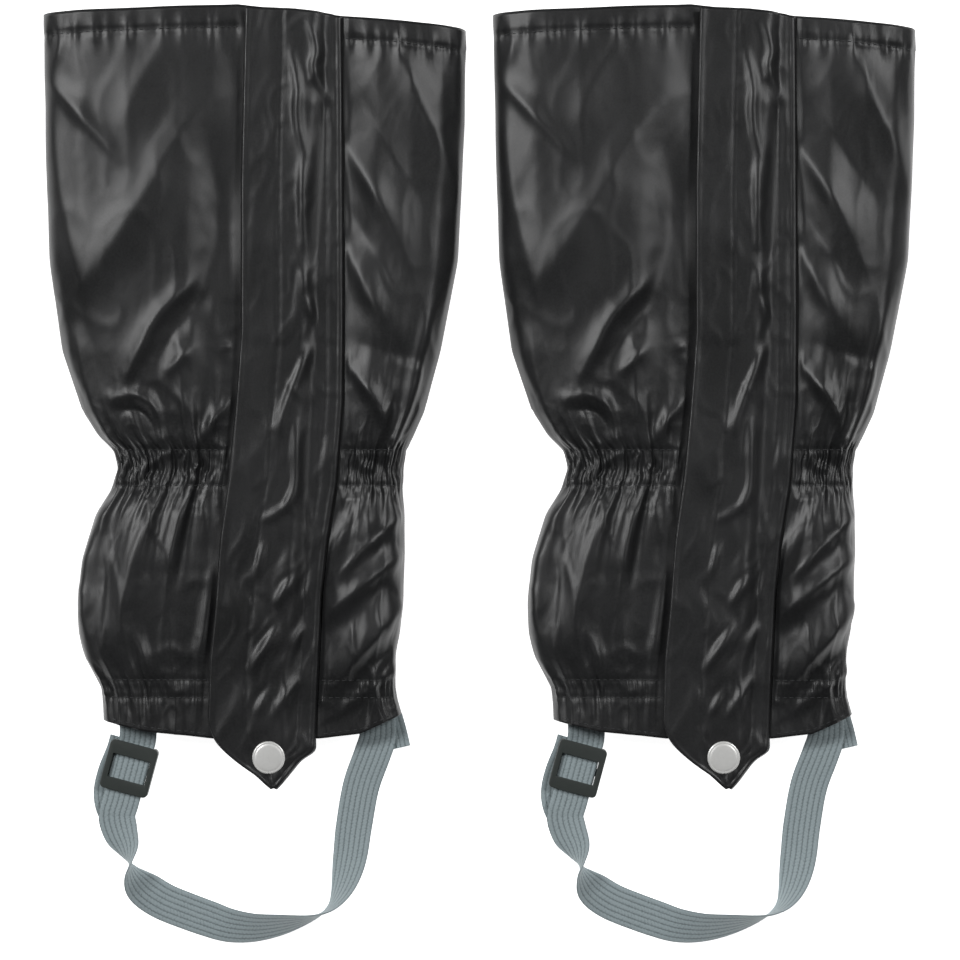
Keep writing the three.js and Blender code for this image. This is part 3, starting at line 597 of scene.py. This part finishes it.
def creased_flap():
    up, left, right = flap_outline()
    x = left + np.linspace(0, 1, FLAP_COLUMNS)[None, :] * (right - left)
    y = up * np.ones_like(x)
    # towards the top, the rows dip to the right, as the edge of the leg does
    near_top = np.clip((up - FLAP_TOP + 33) / 33, 0, 1)
    y += near_top * np.interp(x, [-27, 0, 19, 28], [0, 0, -1.5, -3.5])
    rise = np.clip((HINGE_OFFSET - x) / FLAP_RAMP, 0, 1)
    rise = rise * rise * (3 - 2 * rise)
    z = BAND_Z + (FLAP_Z - BAND_Z) * rise
    inside = np.clip((x - left) / 3, 0, 1) * np.clip((right - x) / 3, 0, 1)
    lift = inside * (1.5 * sum(fold(x, y, *f) for f in FLAP_FOLDS) + flap_waves(x, y))
    lift = np.maximum(lift, -0.3)
    for row, depth in ((left + TAPE_ROW, 0.32), *((right - inset, 0.35) for inset in SEAM_ROWS)):
        lift -= depth * np.exp(-((x - row) / 0.9) ** 2) * (1 - 0.25 * np.cos(2 * np.pi * y / 6.8))
    # both edges are folded under, so they stand up a little, and the right one is sewn down
    lift += 0.35 * np.exp(-((x - left - 1.2) / 1.2) ** 2)
    lift += 0.3 * np.exp(-((x - right + 1.2) / 1.0) ** 2)
    sewn_edge = np.clip(x - right + 1.0, 0, 1)
    return x, y, z + lift - FLAP_CLOTH * sewn_edge


def on_placket(x, y):
    """From the placket's own frame, which leans with the zip, to the leg's."""
    c, s = math.cos(ZIP_LEAN), math.sin(ZIP_LEAN)
    return ZIP_X_AT_HEM + x * c + y * s, HEM_Y - x * s + y * c


flap_x, flap_y, flap_z = creased_flap()
flap_mesh = grid_mesh("storm_flap_cloth", *on_placket(flap_x, flap_y), flap_z)
for gaiter, flap in zip(GAITERS, pair_of("storm_flap_cloth", flap_mesh, shell, None, FLAP_CLOTH)):
    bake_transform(flap)
    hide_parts(f"{gaiter}_storm_flap", f"{gaiter}_flap_seam_band")

# Rows of lock stitching in grey thread: each stitch is a short raised dash of thread
# that sinks into the cloth at both ends.
STITCH = 2.5
STITCH_PITCH = 3.5
THREAD_R = 0.24
THREAD_SIDES = 6
ABOVE_ALL = 80
# Along one stitch: how far, how fat, how high above the cloth.
DASH = ((0, 0.5, -0.16), (0.15, 0.95, 0.06), (0.5, 1, 0.16), (0.85, 0.95, 0.06), (1, 0.5, -0.16))


def dull(name, colour, rough, sheen, pattern, strength, depth, **settings):
    """A dull thread, tape or knit: one colour, with its own pattern standing up."""
    material, tree, shader, add = wired(name, rough, Sheen_Weight=sheen, Base_Color=(*colour, 1))
    place = add("ShaderNodeTexCoord")
    texture = add(pattern, **settings)
    bump = add("ShaderNodeBump", Strength=strength, Distance=depth)
    tree.links.new(place.outputs["Object"], texture.inputs["Vector"])
    tree.links.new(texture.outputs["Fac"], bump.inputs["Height"])
    tree.links.new(bump.outputs["Normal"], shader.inputs["Normal"])
    return material


thread = dull(
    "thread", (0.030, 0.031, 0.033), 0.6, 0.1, "ShaderNodeTexWave", 0.4, 0.0002,
    bands_direction="DIAGONAL", Scale=2200.0)


def surface_of(*meshes):
    points, polygons = [], []
    for mesh in meshes:
        first = len(points)
        points += [v.co.copy() for v in mesh.vertices]
        polygons += [[first + i for i in p.vertices] for p in mesh.polygons]
    return BVHTree.FromPolygons(points, polygons)


def one_stitch(route, walked, start, surface):
    """Middle and radius of the thread along one stitch, or nothing where it would miss the cloth."""
    rings = []
    for share, fat, high in DASH:
        at = start + share * STITCH
        x, y = (np.interp(at, walked, route[:, k]) for k in (0, 1))
        hit = surface.ray_cast(Vector((x + LEG_X, y, ABOVE_ALL)) * MM, Vector((0, 0, -1)))[0]
        if hit is None:
            return []
        rings.append((hit + Vector((0, 0, high * MM)), fat * THREAD_R * MM))
    return rings


def add_thread(rings, points, faces):
    """Adds one closed length of thread through the rings."""
    way = (rings[-1][0] - rings[0][0]).normalized()
    side = way.cross(Vector((0, 0, 1))).normalized()
    rise = side.cross(way)
    first = len(points)
    for middle, radius in rings:
        for turn in range(THREAD_SIDES):
            a = 2 * math.pi * turn / THREAD_SIDES
            points.append(middle + side * (radius * math.cos(a)) + rise * (radius * math.sin(a)))
    last = len(points) - THREAD_SIDES
    for ring in range(first, last, THREAD_SIDES):
        for turn in range(THREAD_SIDES):
            a, b = ring + turn, ring + (turn + 1) % THREAD_SIDES
            faces.append((a, b, b + THREAD_SIDES, a + THREAD_SIDES))
    faces.append(tuple(first + turn for turn in reversed(range(THREAD_SIDES))))
    faces.append(tuple(last + turn for turn in range(THREAD_SIDES)))


def stitched(word, routes, surface, body):
    """Dashes of thread laid on the surface along each route, joined into one piece."""
    points, faces = [], []
    for route in routes:
        route = np.array(route, float)
        gaps = np.linalg.norm(np.diff(route, axis=0), axis=1)
        walked = np.concatenate([[0], np.cumsum(gaps)])
        count = max(2, int(walked[-1] / STITCH_PITCH))
        for start in np.linspace(0, walked[-1] - STITCH, count):
            rings = one_stitch(route, walked, start, surface)
            if rings:
                add_thread(rings, points, faces)
    mesh = bpy.data.meshes.new(word)
    mesh.from_pydata([tuple(p) for p in points], [], faces)
    mesh.polygons.foreach_set("use_smooth", np.ones(len(faces), bool))
    pair_of(word, mesh, thread, body)


def edge_of_leg(row, inset):
    """The front edge at a row of the weave grid, moved up the leg by the inset."""
    front = leg_z[row] > SIDE_Z + 1
    order = np.argsort(leg_x[row][front])
    return np.stack([leg_x[row][front][order], leg_y[row][front][order] + inset], 1)


def across_front(line, x_from, x_to):
    """The stretch of a line from one x to another, with a point every 4 mm."""
    xs = np.arange(x_from, x_to + 4, 4)
    return np.stack([xs, read(line, xs)], 1)


def casing_rows(heights, left, right):
    """Straight rows across the front, each in two stretches that stop at the storm flap."""
    lines = [np.array([[0.0, y]]) for y in heights]
    return [across_front(line, *stretch) for line in lines for stretch in (left, right)]


def down_flap(edge, inset, low, high):
    """A row that keeps its distance from the flap's left (-1) or right (1) edge."""
    ups = np.arange(low, high, 6.0)
    half_width = read(FREE_EDGE if edge < 0 else SEAM, ups / LEG_LENGTH)
    return np.stack(on_placket(edge * (half_width - inset), ups), 1)


leg_surface = surface_of(loop_panel, flap_panel)
flap_surface = surface_of(flap_mesh)
top_line = edge_of_leg(-1, 0.2 - TOP_STITCH)
hem_line = edge_of_leg(0, 2.4)
top_rows = [across_front(top_line, -108, -8), across_front(top_line, 50, 108)]
hem_rows = [across_front(hem_line, -76, -26), across_front(hem_line, 38, 73)]
stitched("top_hem_stitching", top_rows, leg_surface, "leg")
stitched("hem_stitching", hem_rows, leg_surface, "leg")
stitched("calf_casing_stitching", casing_rows(WAIST_LINES, (-71, -15), (48, 76)), leg_surface, "leg")
stitched("ankle_casing_stitching", casing_rows(ANKLE_LINES, (-77, -24), (37, 71)), leg_surface, "leg")
stitched("grip_tape_stitching", [down_flap(-1, TAPE_ROW, 8, 384)], flap_surface, "flap")
stitched("flap_seam_stitching", [down_flap(1, inset, 2, 386) for inset in SEAM_ROWS], flap_surface, "leg")

# Three elastics sewn inside the leg, from one zip tape round the back to the other:
# knitted bands with fine ribs, at the top hem, under the calf and at the ankle.
ELASTIC = 1.0
ELASTIC_INSET = 4.6
# The elastics start this many columns of the weave grid out from the zip.
FIRST_COLUMN = 11
RIB_HEIGHT = 0.14
elastic_knit = dull(
    "elastic_knit", (0.018, 0.018, 0.019), 0.85, 0.25, "ShaderNodeTexWave", 0.5, 0.0004,
    bands_direction="X", Scale=700.0)

# Each elastic: the share of the leg above the hem where it lies, and its width.
for word, share, wide in (("top_elastic", 0.98, 8), ("calf_elastic", 0.367, 19), ("ankle_elastic", 0.06, 8)):
    half = wide / 2 / LEG_LENGTH
    rows = 2 * wide + 1
    band_leg = laid_leg(np.linspace(share - half, share + half, rows))
    around_leg = [g[:, FIRST_COLUMN:-FIRST_COLUMN] for g in band_leg]
    inward = faces_out(*around_leg)
    rib = ELASTIC_INSET + RIB_HEIGHT * np.cos(np.pi * np.arange(rows))[:, None]
    band = [g - inward[:, :, k] * rib for k, g in enumerate(around_leg)]
    band[2] = np.maximum(band[2], CLOTH + ELASTIC + 0.2)
    made = pair_of(f"{word}_band", grid_mesh(word, *band), elastic_knit, "leg", ELASTIC)
    for gaiter, elastic in zip(GAITERS, made):
        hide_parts(f"{gaiter}_{word}")

# Hook and loop tape: the loop half is stuck on the leg beside the zip, the hook half
# under the flap. Loops stand up as an uneven nap, hooks as even rows of little spikes.
TAPE_WIDTH = 15.0
TAPE_INSET = 1.0
TAPE_BOTTOM, TAPE_TOP = 18.0, LEG_LENGTH - 6
TAPE_COLUMNS = 21
NAP = 0.5
grip = dull(
    "grip_tape", (0.012, 0.012, 0.013), 0.95, 0.5, "ShaderNodeTexNoise", 0.8, 0.0005,
    Scale=1400.0, Detail=3.0)


def nap_tape(word, body, base_z, thick, facing, hooked):
    """One half of the tape: its back at base_z, and its nap facing up (1) or down (-1)."""
    up = np.arange(TAPE_BOTTOM, TAPE_TOP, 0.75)[:, None]
    across = np.linspace(0, TAPE_WIDTH, TAPE_COLUMNS)[None, :]
    x = -read(FREE_EDGE, up / LEG_LENGTH) + TAPE_INSET + across
    y = up + 0 * x
    rows, columns = np.indices(x.shape)
    rng = np.random.default_rng(61)
    nap = ((rows + columns) % 2) * NAP if hooked else rng.uniform(0, NAP - 0.05, x.shape)
    selvedge = (columns < 2) | (columns > TAPE_COLUMNS - 3)
    nap = np.where(selvedge, 0.0, nap)
    z = base_z + facing * (thick - NAP + nap)
    mesh = grid_mesh(word, *on_placket(x, y), z)
    made = pair_of(f"{word}_nap", mesh, grip, body, thick - NAP, -facing)
    for gaiter, tape in zip(GAITERS, made):
        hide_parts(f"{gaiter}_{word}")


loop_back_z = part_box("left_loop_tape")[0][2] / MM
hook_back_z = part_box("left_hook_tape")[1][2] / MM
nap_tape("loop_tape", "leg", loop_back_z, 1.3, 1, False)
nap_tape("hook_tape", "flap", hook_back_z, 1.2, -1, True)

# Zip: woven tapes sewn under both edges of the opening, two rows of moulded nylon
# teeth that interlock, metal stops at the top and a box at the bottom.
ZIP_BOTTOM, ZIP_TOP = 16.0, LEG_LENGTH - 10
ZIP_TAPE_Z = 19.2
ZIP_TAPE = 0.5
# Across the tape, out from the middle of the zip: ribbed as far as the sixth line.
TAPE_LINES = np.linspace(2.9, 11.9, 13)
TAPE_RIBS = 0.12 * np.where(np.arange(13) < 6, 1.0, 0.2) * np.cos(np.arange(13) * np.pi)
TEETH_Z = 18.6
TOOTH_PITCH = 1.5
TOOTH_REACH = 0.55
TOOTH_BACK = 2.6
# Plan of a tooth from its root in the tape to past the middle: distance out, half its width.
TOOTH_PLAN = [
    (TOOTH_BACK, 0.42), (0.9, 0.3), (0.35, 0.52), (-TOOTH_REACH * 0.6, 0.5), (-TOOTH_REACH, 0.25)]
# Its cross-section, with rounded corners: share of the half width, height.
TOOTH_SECTION = [
    (-1, -0.6), (-0.6, -1.0), (0.6, -1.0), (1, -0.6), (1, 0.6), (0.6, 1.0), (-0.6, 1.0), (-1, 0.6)]
tape_weave = dull(
    "zip_tape_weave", (0.016, 0.016, 0.018), 0.75, 0.2, "ShaderNodeTexWave", 0.5, 0.0003,
    bands_direction="DIAGONAL", Scale=900.0)
tooth_nylon = wired("tooth_nylon", 0.38, Base_Color=(0.02, 0.02, 0.022, 1))[0]


def zip_tape(side):
    """One woven tape, from a little below the box to a little above the stops."""
    up = np.arange(ZIP_BOTTOM - 8, ZIP_TOP + 4.1, 3.0)[:, None]
    x = TAPE_LINES[None, ::side] * side + 0 * up
    z = ZIP_TAPE_Z + TAPE_RIBS[None, ::side] + 0 * up
    return grid_mesh("zip_tape", *on_placket(x, up + 0 * x), z)


def zip_teeth(side):
    """One row of teeth, half a pitch up from the other row, so that the two interlock."""
    points, faces = [], []
    corners = len(TOOTH_SECTION)
    lift = TOOTH_PITCH / 2 if side > 0 else 0.0
    for up in np.arange(ZIP_BOTTOM + 0.6, ZIP_TOP - 2.9, TOOTH_PITCH):
        first = len(points)
        for out, half in TOOTH_PLAN:
            for share, dz in TOOTH_SECTION:
                x, y = on_placket(side * out, up + lift + share * half)
                points.append(((x + LEG_X) * MM, y * MM, (TEETH_Z + dz) * MM))
        last = len(points) - corners
        tooth = [tuple(range(first + corners - 1, first - 1, -1)), tuple(range(last, last + corners))]
        for ring in range(first, last, corners):
            for turn in range(corners):
                a, b = ring + turn, ring + (turn + 1) % corners
                tooth.append((a, b, b + corners, a + corners))
        faces += [face[::-side] for face in tooth]
    mesh = bpy.data.meshes.new("zip_teeth")
    mesh.from_pydata(points, [], faces)
    return mesh


for side, word in ((-1, "loop_side"), (1, "flap_side")):
    tapes = pair_of(f"zip_tape_{word}_weave", zip_tape(side), tape_weave, "leg", ZIP_TAPE)
    rows = pair_of(f"zip_teeth_{word}_row", zip_teeth(side), tooth_nylon, "leg")
    for gaiter, tape, teeth in zip(GAITERS, tapes, rows):
        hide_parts(f"{gaiter}_zip_tape_{word}")
        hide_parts(f"{gaiter}_zip_teeth_{word}")

# Small hard parts, each with its edges rounded as they are cast or pressed: the slider
# and its pull tab, the zip's stops and box, and the hidden parts of the snap.


def hard(name, colour, rough, metallic, grain):
    """A hard smooth finish, slightly uneven, whose patches are about 1/grain of a metre."""
    material, tree, shader, add = wired(name, rough, Metallic=metallic, Base_Color=(*colour, 1))
    place = add("ShaderNodeTexCoord")
    cloud = add("ShaderNodeTexNoise", Scale=grain, Detail=5.0)
    spread = add("ShaderNodeMapRange")
    spread.inputs["To Min"].default_value = rough - 0.07
    spread.inputs["To Max"].default_value = rough + 0.08
    dents = add("ShaderNodeBump", Strength=0.12, Distance=0.0002)
    tree.links.new(place.outputs["Object"], cloud.inputs["Vector"])
    tree.links.new(cloud.outputs["Fac"], spread.inputs["Value"])
    tree.links.new(spread.outputs["Result"], shader.inputs["Roughness"])
    tree.links.new(cloud.outputs["Fac"], dents.inputs["Height"])
    tree.links.new(dents.outputs["Normal"], shader.inputs["Normal"])
    return material


dark_metal = hard("zip_dark_metal", (0.16, 0.16, 0.165), 0.36, 0.9, 900)
nickel = hard("snap_nickel", (0.92, 0.92, 0.90), 0.34, 0.45, 600)
box_nylon = hard("box_nylon", (0.02, 0.02, 0.022), 0.45, 0.0, 1200)


SAME_POINT = 1e-6


def rounded_copy(word, material, body, radius):
    """The piece as it is, with its flat faces joined and its sharp edges rounded."""
    mesh = bpy.data.objects[f"left_{word}"].data.copy()
    work = bmesh.new()
    work.from_mesh(mesh)
    bmesh.ops.remove_doubles(work, verts=work.verts, dist=SAME_POINT)
    bmesh.ops.dissolve_limit(work, angle_limit=math.radians(2), verts=work.verts, edges=work.edges)
    sharp = [e for e in work.edges if len(e.link_faces) == 2 and e.calc_face_angle(0) > math.radians(28)]
    bmesh.ops.bevel(
        work, geom=sharp, offset=radius * MM, segments=3, profile=0.6, affect="EDGES", clamp_overlap=True)
    work.to_mesh(mesh)
    work.free()
    mesh.polygons.foreach_set("use_smooth", np.ones(len(mesh.polygons), bool))
    mesh.set_sharp_from_angle(angle=math.radians(40))
    for gaiter, part in zip(GAITERS, pair_of(word + "_made", mesh, material, body)):
        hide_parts(f"{gaiter}_{word}")


rounded_copy("zip_slider", dark_metal, "zip_slider", 0.22)
rounded_copy("zip_pull_tab", dark_metal, "pull_tab", 0.25)
rounded_copy("zip_stop_loop_side", dark_metal, "leg", 0.3)
rounded_copy("zip_stop_flap_side", dark_metal, "leg", 0.3)
rounded_copy("zip_retainer_box", box_nylon, "leg", 0.35)
for word in ("snap_socket", "snap_stud", "snap_post"):
    rounded_copy(word, nickel, "flap" if word == "snap_socket" else "leg", 0.15)

# The under tab: a cloth tongue at the bottom of the leg, doubled and stitched round,
# that holds the stud half of the snap.
rounded_copy("under_tab", shell, "leg", 0.3)

# The snap's cap: pressed nickel-plated brass with a rolled rim and a nearly flat face,
# and the short shank that holds it to the flap.
CAP_R = 8.8
SHANK_R = 1.2
CAP_TURNS = 72
CAP_RISE = 1.5
# Half of the cap cut through its middle: distance out, height above its base.
CAP_PROFILE = [
    (0.0, 1.62), (4.0, 1.6), (6.2, 1.52), (7.0, 1.44), (7.35, 1.3), (7.6, 1.28), (7.95, 1.36), (8.35, 1.3),
    (8.65, 1.05), (CAP_R, 0.7), (8.72, 0.3), (8.4, 0.02), (7.9, -0.1), (SHANK_R, -0.1), (SHANK_R, -1.2),
    (0, -1.2),
]
cap_low, cap_high = (Vector(c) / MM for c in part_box("left_snap_cap"))
cap_middle = (cap_low + cap_high) / 2
cap_base = cap_high.z - CAP_RISE


def spun(word, profile, middle, base_z, turns):
    """A round part made by turning its profile about an upright line through the middle."""
    points, faces = [], []
    for radius, height in profile:
        for turn in range(turns):
            a = 2 * math.pi * turn / turns
            x, y = middle.x + radius * math.cos(a), middle.y + radius * math.sin(a)
            points.append((x * MM, y * MM, (base_z + height) * MM))
    for ring in range(len(profile) - 1):
        for turn in range(turns):
            a, b = ring * turns + turn, ring * turns + (turn + 1) % turns
            faces.append((a, a + turns, b + turns, b))
    mesh = bpy.data.meshes.new(word)
    mesh.from_pydata(points, [], faces)
    mesh.validate()
    work = bmesh.new()
    work.from_mesh(mesh)
    bmesh.ops.remove_doubles(work, verts=work.verts, dist=SAME_POINT)
    bmesh.ops.recalc_face_normals(work, faces=work.faces)
    work.to_mesh(mesh)
    work.free()
    mesh.polygons.foreach_set("use_smooth", np.ones(len(mesh.polygons), bool))
    mesh.set_sharp_from_angle(angle=math.radians(45))
    return mesh


cap_mesh = spun("snap_cap", CAP_PROFILE, cap_middle, cap_base, CAP_TURNS)
for gaiter, cap in zip(GAITERS, pair_of("snap_cap_face", cap_mesh, nickel, "flap")):
    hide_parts(f"{gaiter}_snap_cap")

# The foot strap: 20 mm elastic webbing, woven herringbone with seven ribs along it. It is
# folded under and sewn at the right of the hem, turns on edge at both lower corners and
# comes up through the buckle at the left.
WEB = 20.0
WEB_THICK = 1.4
WEB_STEP = 0.5
WEB_COLUMNS = 43
RIBS = 7
RIB_RISE = 0.20
GROOVE = 0.30
# The weave on the ribs: length of one pick, how far it stands up, and how uneven it is.
PICK = 1.9
PICK_RISE = 0.06
PICK_UNEVEN = 0.035
# Line across the hem about which the strap swings.
STRAP_ROUTE = np.array([
    # from the sewn end at the right, down to the lower right corner
    [66.5, -129, 3.2, 0], [66.5, -141.0, 3.2, 0], [63.4, -151, 2.4, 3], [57.4, -168, 0.6, 6],
    [53.6, -189, 0.3, 10], [51.4, -206, 0.3, 22], [48.6, -218, 0.3, 42], [44.6, -227.5, 0.3, 66],
    # under the foot, where it has turned right over
    [39.6, -233.8, 0.3, 88], [31, -238.4, 0.3, 106], [16, -242.2, 0.3, 130], [0, -244.4, 0.3, 148],
    [-14, -243.6, 0.3, 164], [-26, -240.2, 0.3, 176], [-39, -235.6, 0.3, 181], [-51, -230.4, 0.3, 186],
    # round the lower left corner, turning on
    [-60, -223.6, 0.3, 206], [-65.6, -215.4, 0.3, 246], [-67.9, -207.4, 0.5, 288],
    [-70.0, -200.0, 0.9, 324], [-73.4, -192.0, 2.2, 349],
    # straight through the buckle and up to the hem
    [-75.2, -184.0, 3.2, 360], [-73.2, -176.2, 3.2, 360], [-69.4, -162.0, 3.2, 360],
    [-65.9, -149.0, 3.2, 360], [-63.8, -141.1, 3.2, 360], [-63.8, -129, 3.2, 360],
])


def eased(rows, step):
    """A smooth run through the rows, with points evenly spaced along it."""
    fine = []
    padded = np.vstack([2 * rows[0] - rows[1], rows, 2 * rows[-1] - rows[-2]])
    for a, b, c, d in zip(padded, padded[1:], padded[2:], padded[3:]):
        t = np.linspace(0, 1, 24, endpoint=False)[:, None]
        square = 2 * a - 5 * b + 4 * c - d
        cube = 3 * b - a - 3 * c + d
        fine.append(0.5 * (2 * b + (c - a) * t + square * t ** 2 + cube * t ** 3))
    fine = np.vstack([*fine, rows[-1:]])
    walked = np.concatenate([[0], np.cumsum(np.hypot(*np.diff(fine[:, :2], axis=0).T))])
    stops = np.arange(0, walked[-1], step)
    return np.stack([np.interp(stops, walked, fine[:, k]) for k in range(4)], 1), stops


def webbing(word, route, width):
    """Webbing along a route: both faces ribbed, with the picks of the weave slanting across each rib."""
    rows, stops = eased(route, WEB_STEP)
    way = np.gradient(rows[:, :2], axis=0)
    way /= np.linalg.norm(way, axis=1, keepdims=True)
    across = np.stack([way[:, 1], -way[:, 0]], 1)
    t = np.linspace(-1, 1, WEB_COLUMNS)
    ribs = np.abs(np.sin((t + 1) / 2 * RIBS * np.pi)) ** 0.7
    on_rib = (t + 1) * RIBS / 2
    slant = np.where(np.floor(on_rib) % 2 == 0, 1, -1) * (on_rib % 1) * 0.8
    thin_edges = np.clip((1 - np.abs(t)) * 9, 0.25, 1)
    upper = [(1, k) for k in range(WEB_COLUMNS)]
    lower = [(-1, k) for k in reversed(range(WEB_COLUMNS))]
    rng = np.random.default_rng(71)
    points, painted_rib_shading = [], []
    for (x, y, z, roll), (ax, ay), stop in zip(rows, across, stops):
        c, s = math.cos(math.radians(roll)), math.sin(math.radians(roll))
        middle_z = z + WEB_THICK / 2 + abs(s) * (width / 2 - WEB_THICK / 2)
        picks = PICK_RISE * np.sin(2 * np.pi * (stop / PICK + slant))
        picks += rng.normal(0, PICK_UNEVEN, WEB_COLUMNS)
        half_thick = (WEB_THICK / 2 - GROOVE + RIB_RISE * ribs + picks * ribs) * thin_edges
        for face, k in upper + lower:
            flat, high = t[k] * width / 2, face * half_thick[k]
            out = flat * c + high * s
            points.append((x + ax * out, y + ay * out, middle_z - flat * s + high * c))
            # painted light for the material: the colour is darker in the grooves (painted shade) and lighter
            # on the ribs and on picks that stand up (painted highlight)
            painted_rib_shading.append(0.25 + 0.75 * ribs[k] * (0.75 + 3.4 * picks[k]))
    ring = 2 * WEB_COLUMNS
    faces = []
    for first in range(0, len(points) - ring, ring):
        for turn in range(ring):
            a, b = first + turn, first + (turn + 1) % ring
            faces.append((a, b, b + ring, a + ring))
    faces.append(tuple(reversed(range(ring))))
    faces.append(tuple(range(len(points) - ring, len(points))))
    mesh = bpy.data.meshes.new(word)
    mesh.from_pydata((np.array(points) * MM + [LEG_X * MM, 0, 0]).tolist(), [], faces)
    mesh.polygons.foreach_set("use_smooth", np.ones(len(faces), bool))
    mesh.attributes.new("painted_rib_shading", "FLOAT", "POINT").data.foreach_set("value", painted_rib_shading)
    return mesh


# Ends of the webbing's colour ramp: dark for the painted shade in the grooves, light for the painted
# highlight on the ribs, both mixed with a random speckle.
WEB_DARK = (0.09, 0.115, 0.12)
WEB_LIGHT = (0.33, 0.395, 0.415)


def webbing_weave():
    """Blue-grey yarn with a fine speckle and fuzz, with painted shade in the grooves and painted highlight
    on the ribs.
    """
    material, tree, shader, add = wired("webbing_weave", 0.78, Sheen_Weight=0.25, Sheen_Roughness=0.5)
    link = tree.links.new
    # the rib value paints shade into the grooves and a highlight onto the ribs
    height = add("ShaderNodeAttribute", attribute_name="painted_rib_shading")
    place = add("ShaderNodeTexCoord")
    speck = add("ShaderNodeTexNoise", Scale=1500.0, Detail=3.0)
    speckled = add("ShaderNodeMath", operation="MULTIPLY_ADD")
    speckled.inputs[1].default_value = 0.6
    tint = add("ShaderNodeValToRGB")
    two_tones(tint, 0.4, WEB_DARK, WEB_LIGHT)
    fuzz = add("ShaderNodeBump", Strength=0.35, Distance=0.0003)
    link(place.outputs["Object"], speck.inputs["Vector"])
    link(speck.outputs["Fac"], speckled.inputs[0])
    link(height.outputs["Fac"], speckled.inputs[2])
    link(speckled.outputs[0], tint.inputs["Fac"])
    link(tint.outputs["Color"], shader.inputs["Base Color"])
    link(speck.outputs["Fac"], fuzz.inputs["Height"])
    link(fuzz.outputs["Normal"], shader.inputs["Normal"])
    return material


web_weave = webbing_weave()
strap_mesh = webbing("foot_strap_web", STRAP_ROUTE, WEB)
for gaiter, strap in zip(GAITERS, pair_of("foot_strap_web", strap_mesh, web_weave, None)):
    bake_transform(strap)
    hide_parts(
        f"{gaiter}_foot_strap", f"{gaiter}_strap_anchor_buckle_side",
        f"{gaiter}_strap_anchor_sewn_side")

# The free end of the webbing, cut straight across: it comes back behind the buckle and
# bulges out at the left.
TAIL_ROUTE = np.array([
    [-70.2, -142.6, 0.1, 0], [-72.4, -150, 0.1, 0], [-76.8, -161, 0.1, 0], [-79.0, -171, 0.1, 0],
    [-78.0, -179, 0.1, 0], [-74.4, -185.5, 0.1, 0],
])
TAIL_WIDTH = 18.5
tail_mesh = webbing("strap_tail_web", TAIL_ROUTE, TAIL_WIDTH)
for gaiter, tail in zip(GAITERS, pair_of("strap_tail_web", tail_mesh, web_weave, "strap")):
    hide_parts(f"{gaiter}_strap_tail")

# The sewn end at the right: the webbing is folded back on a slant before it is caught in
# the hem, and the corner of the fold shows past it.
FOLDED_END = np.array([[71.0, -131.0, 1.3, 0], [73.4, -139.6, 1.2, 0], [75.4, -148.4, 1.0, 0]])
FOLDED_WIDTH = 18.0
folded_mesh = webbing("strap_folded_end", FOLDED_END, FOLDED_WIDTH)
pair_of("strap_folded_end", folded_mesh, web_weave, "leg")

# The buckle: a three-bar slide moulded in dark grey-green acetal, with soft edges. It
# grips the webbing and slides along it to set the length of the strap.
buckle_acetal = hard("buckle_acetal", (0.036, 0.043, 0.040), 0.42, 0.0, 500)
rounded_copy("strap_buckle", buckle_acetal, "buckle", 0.75)
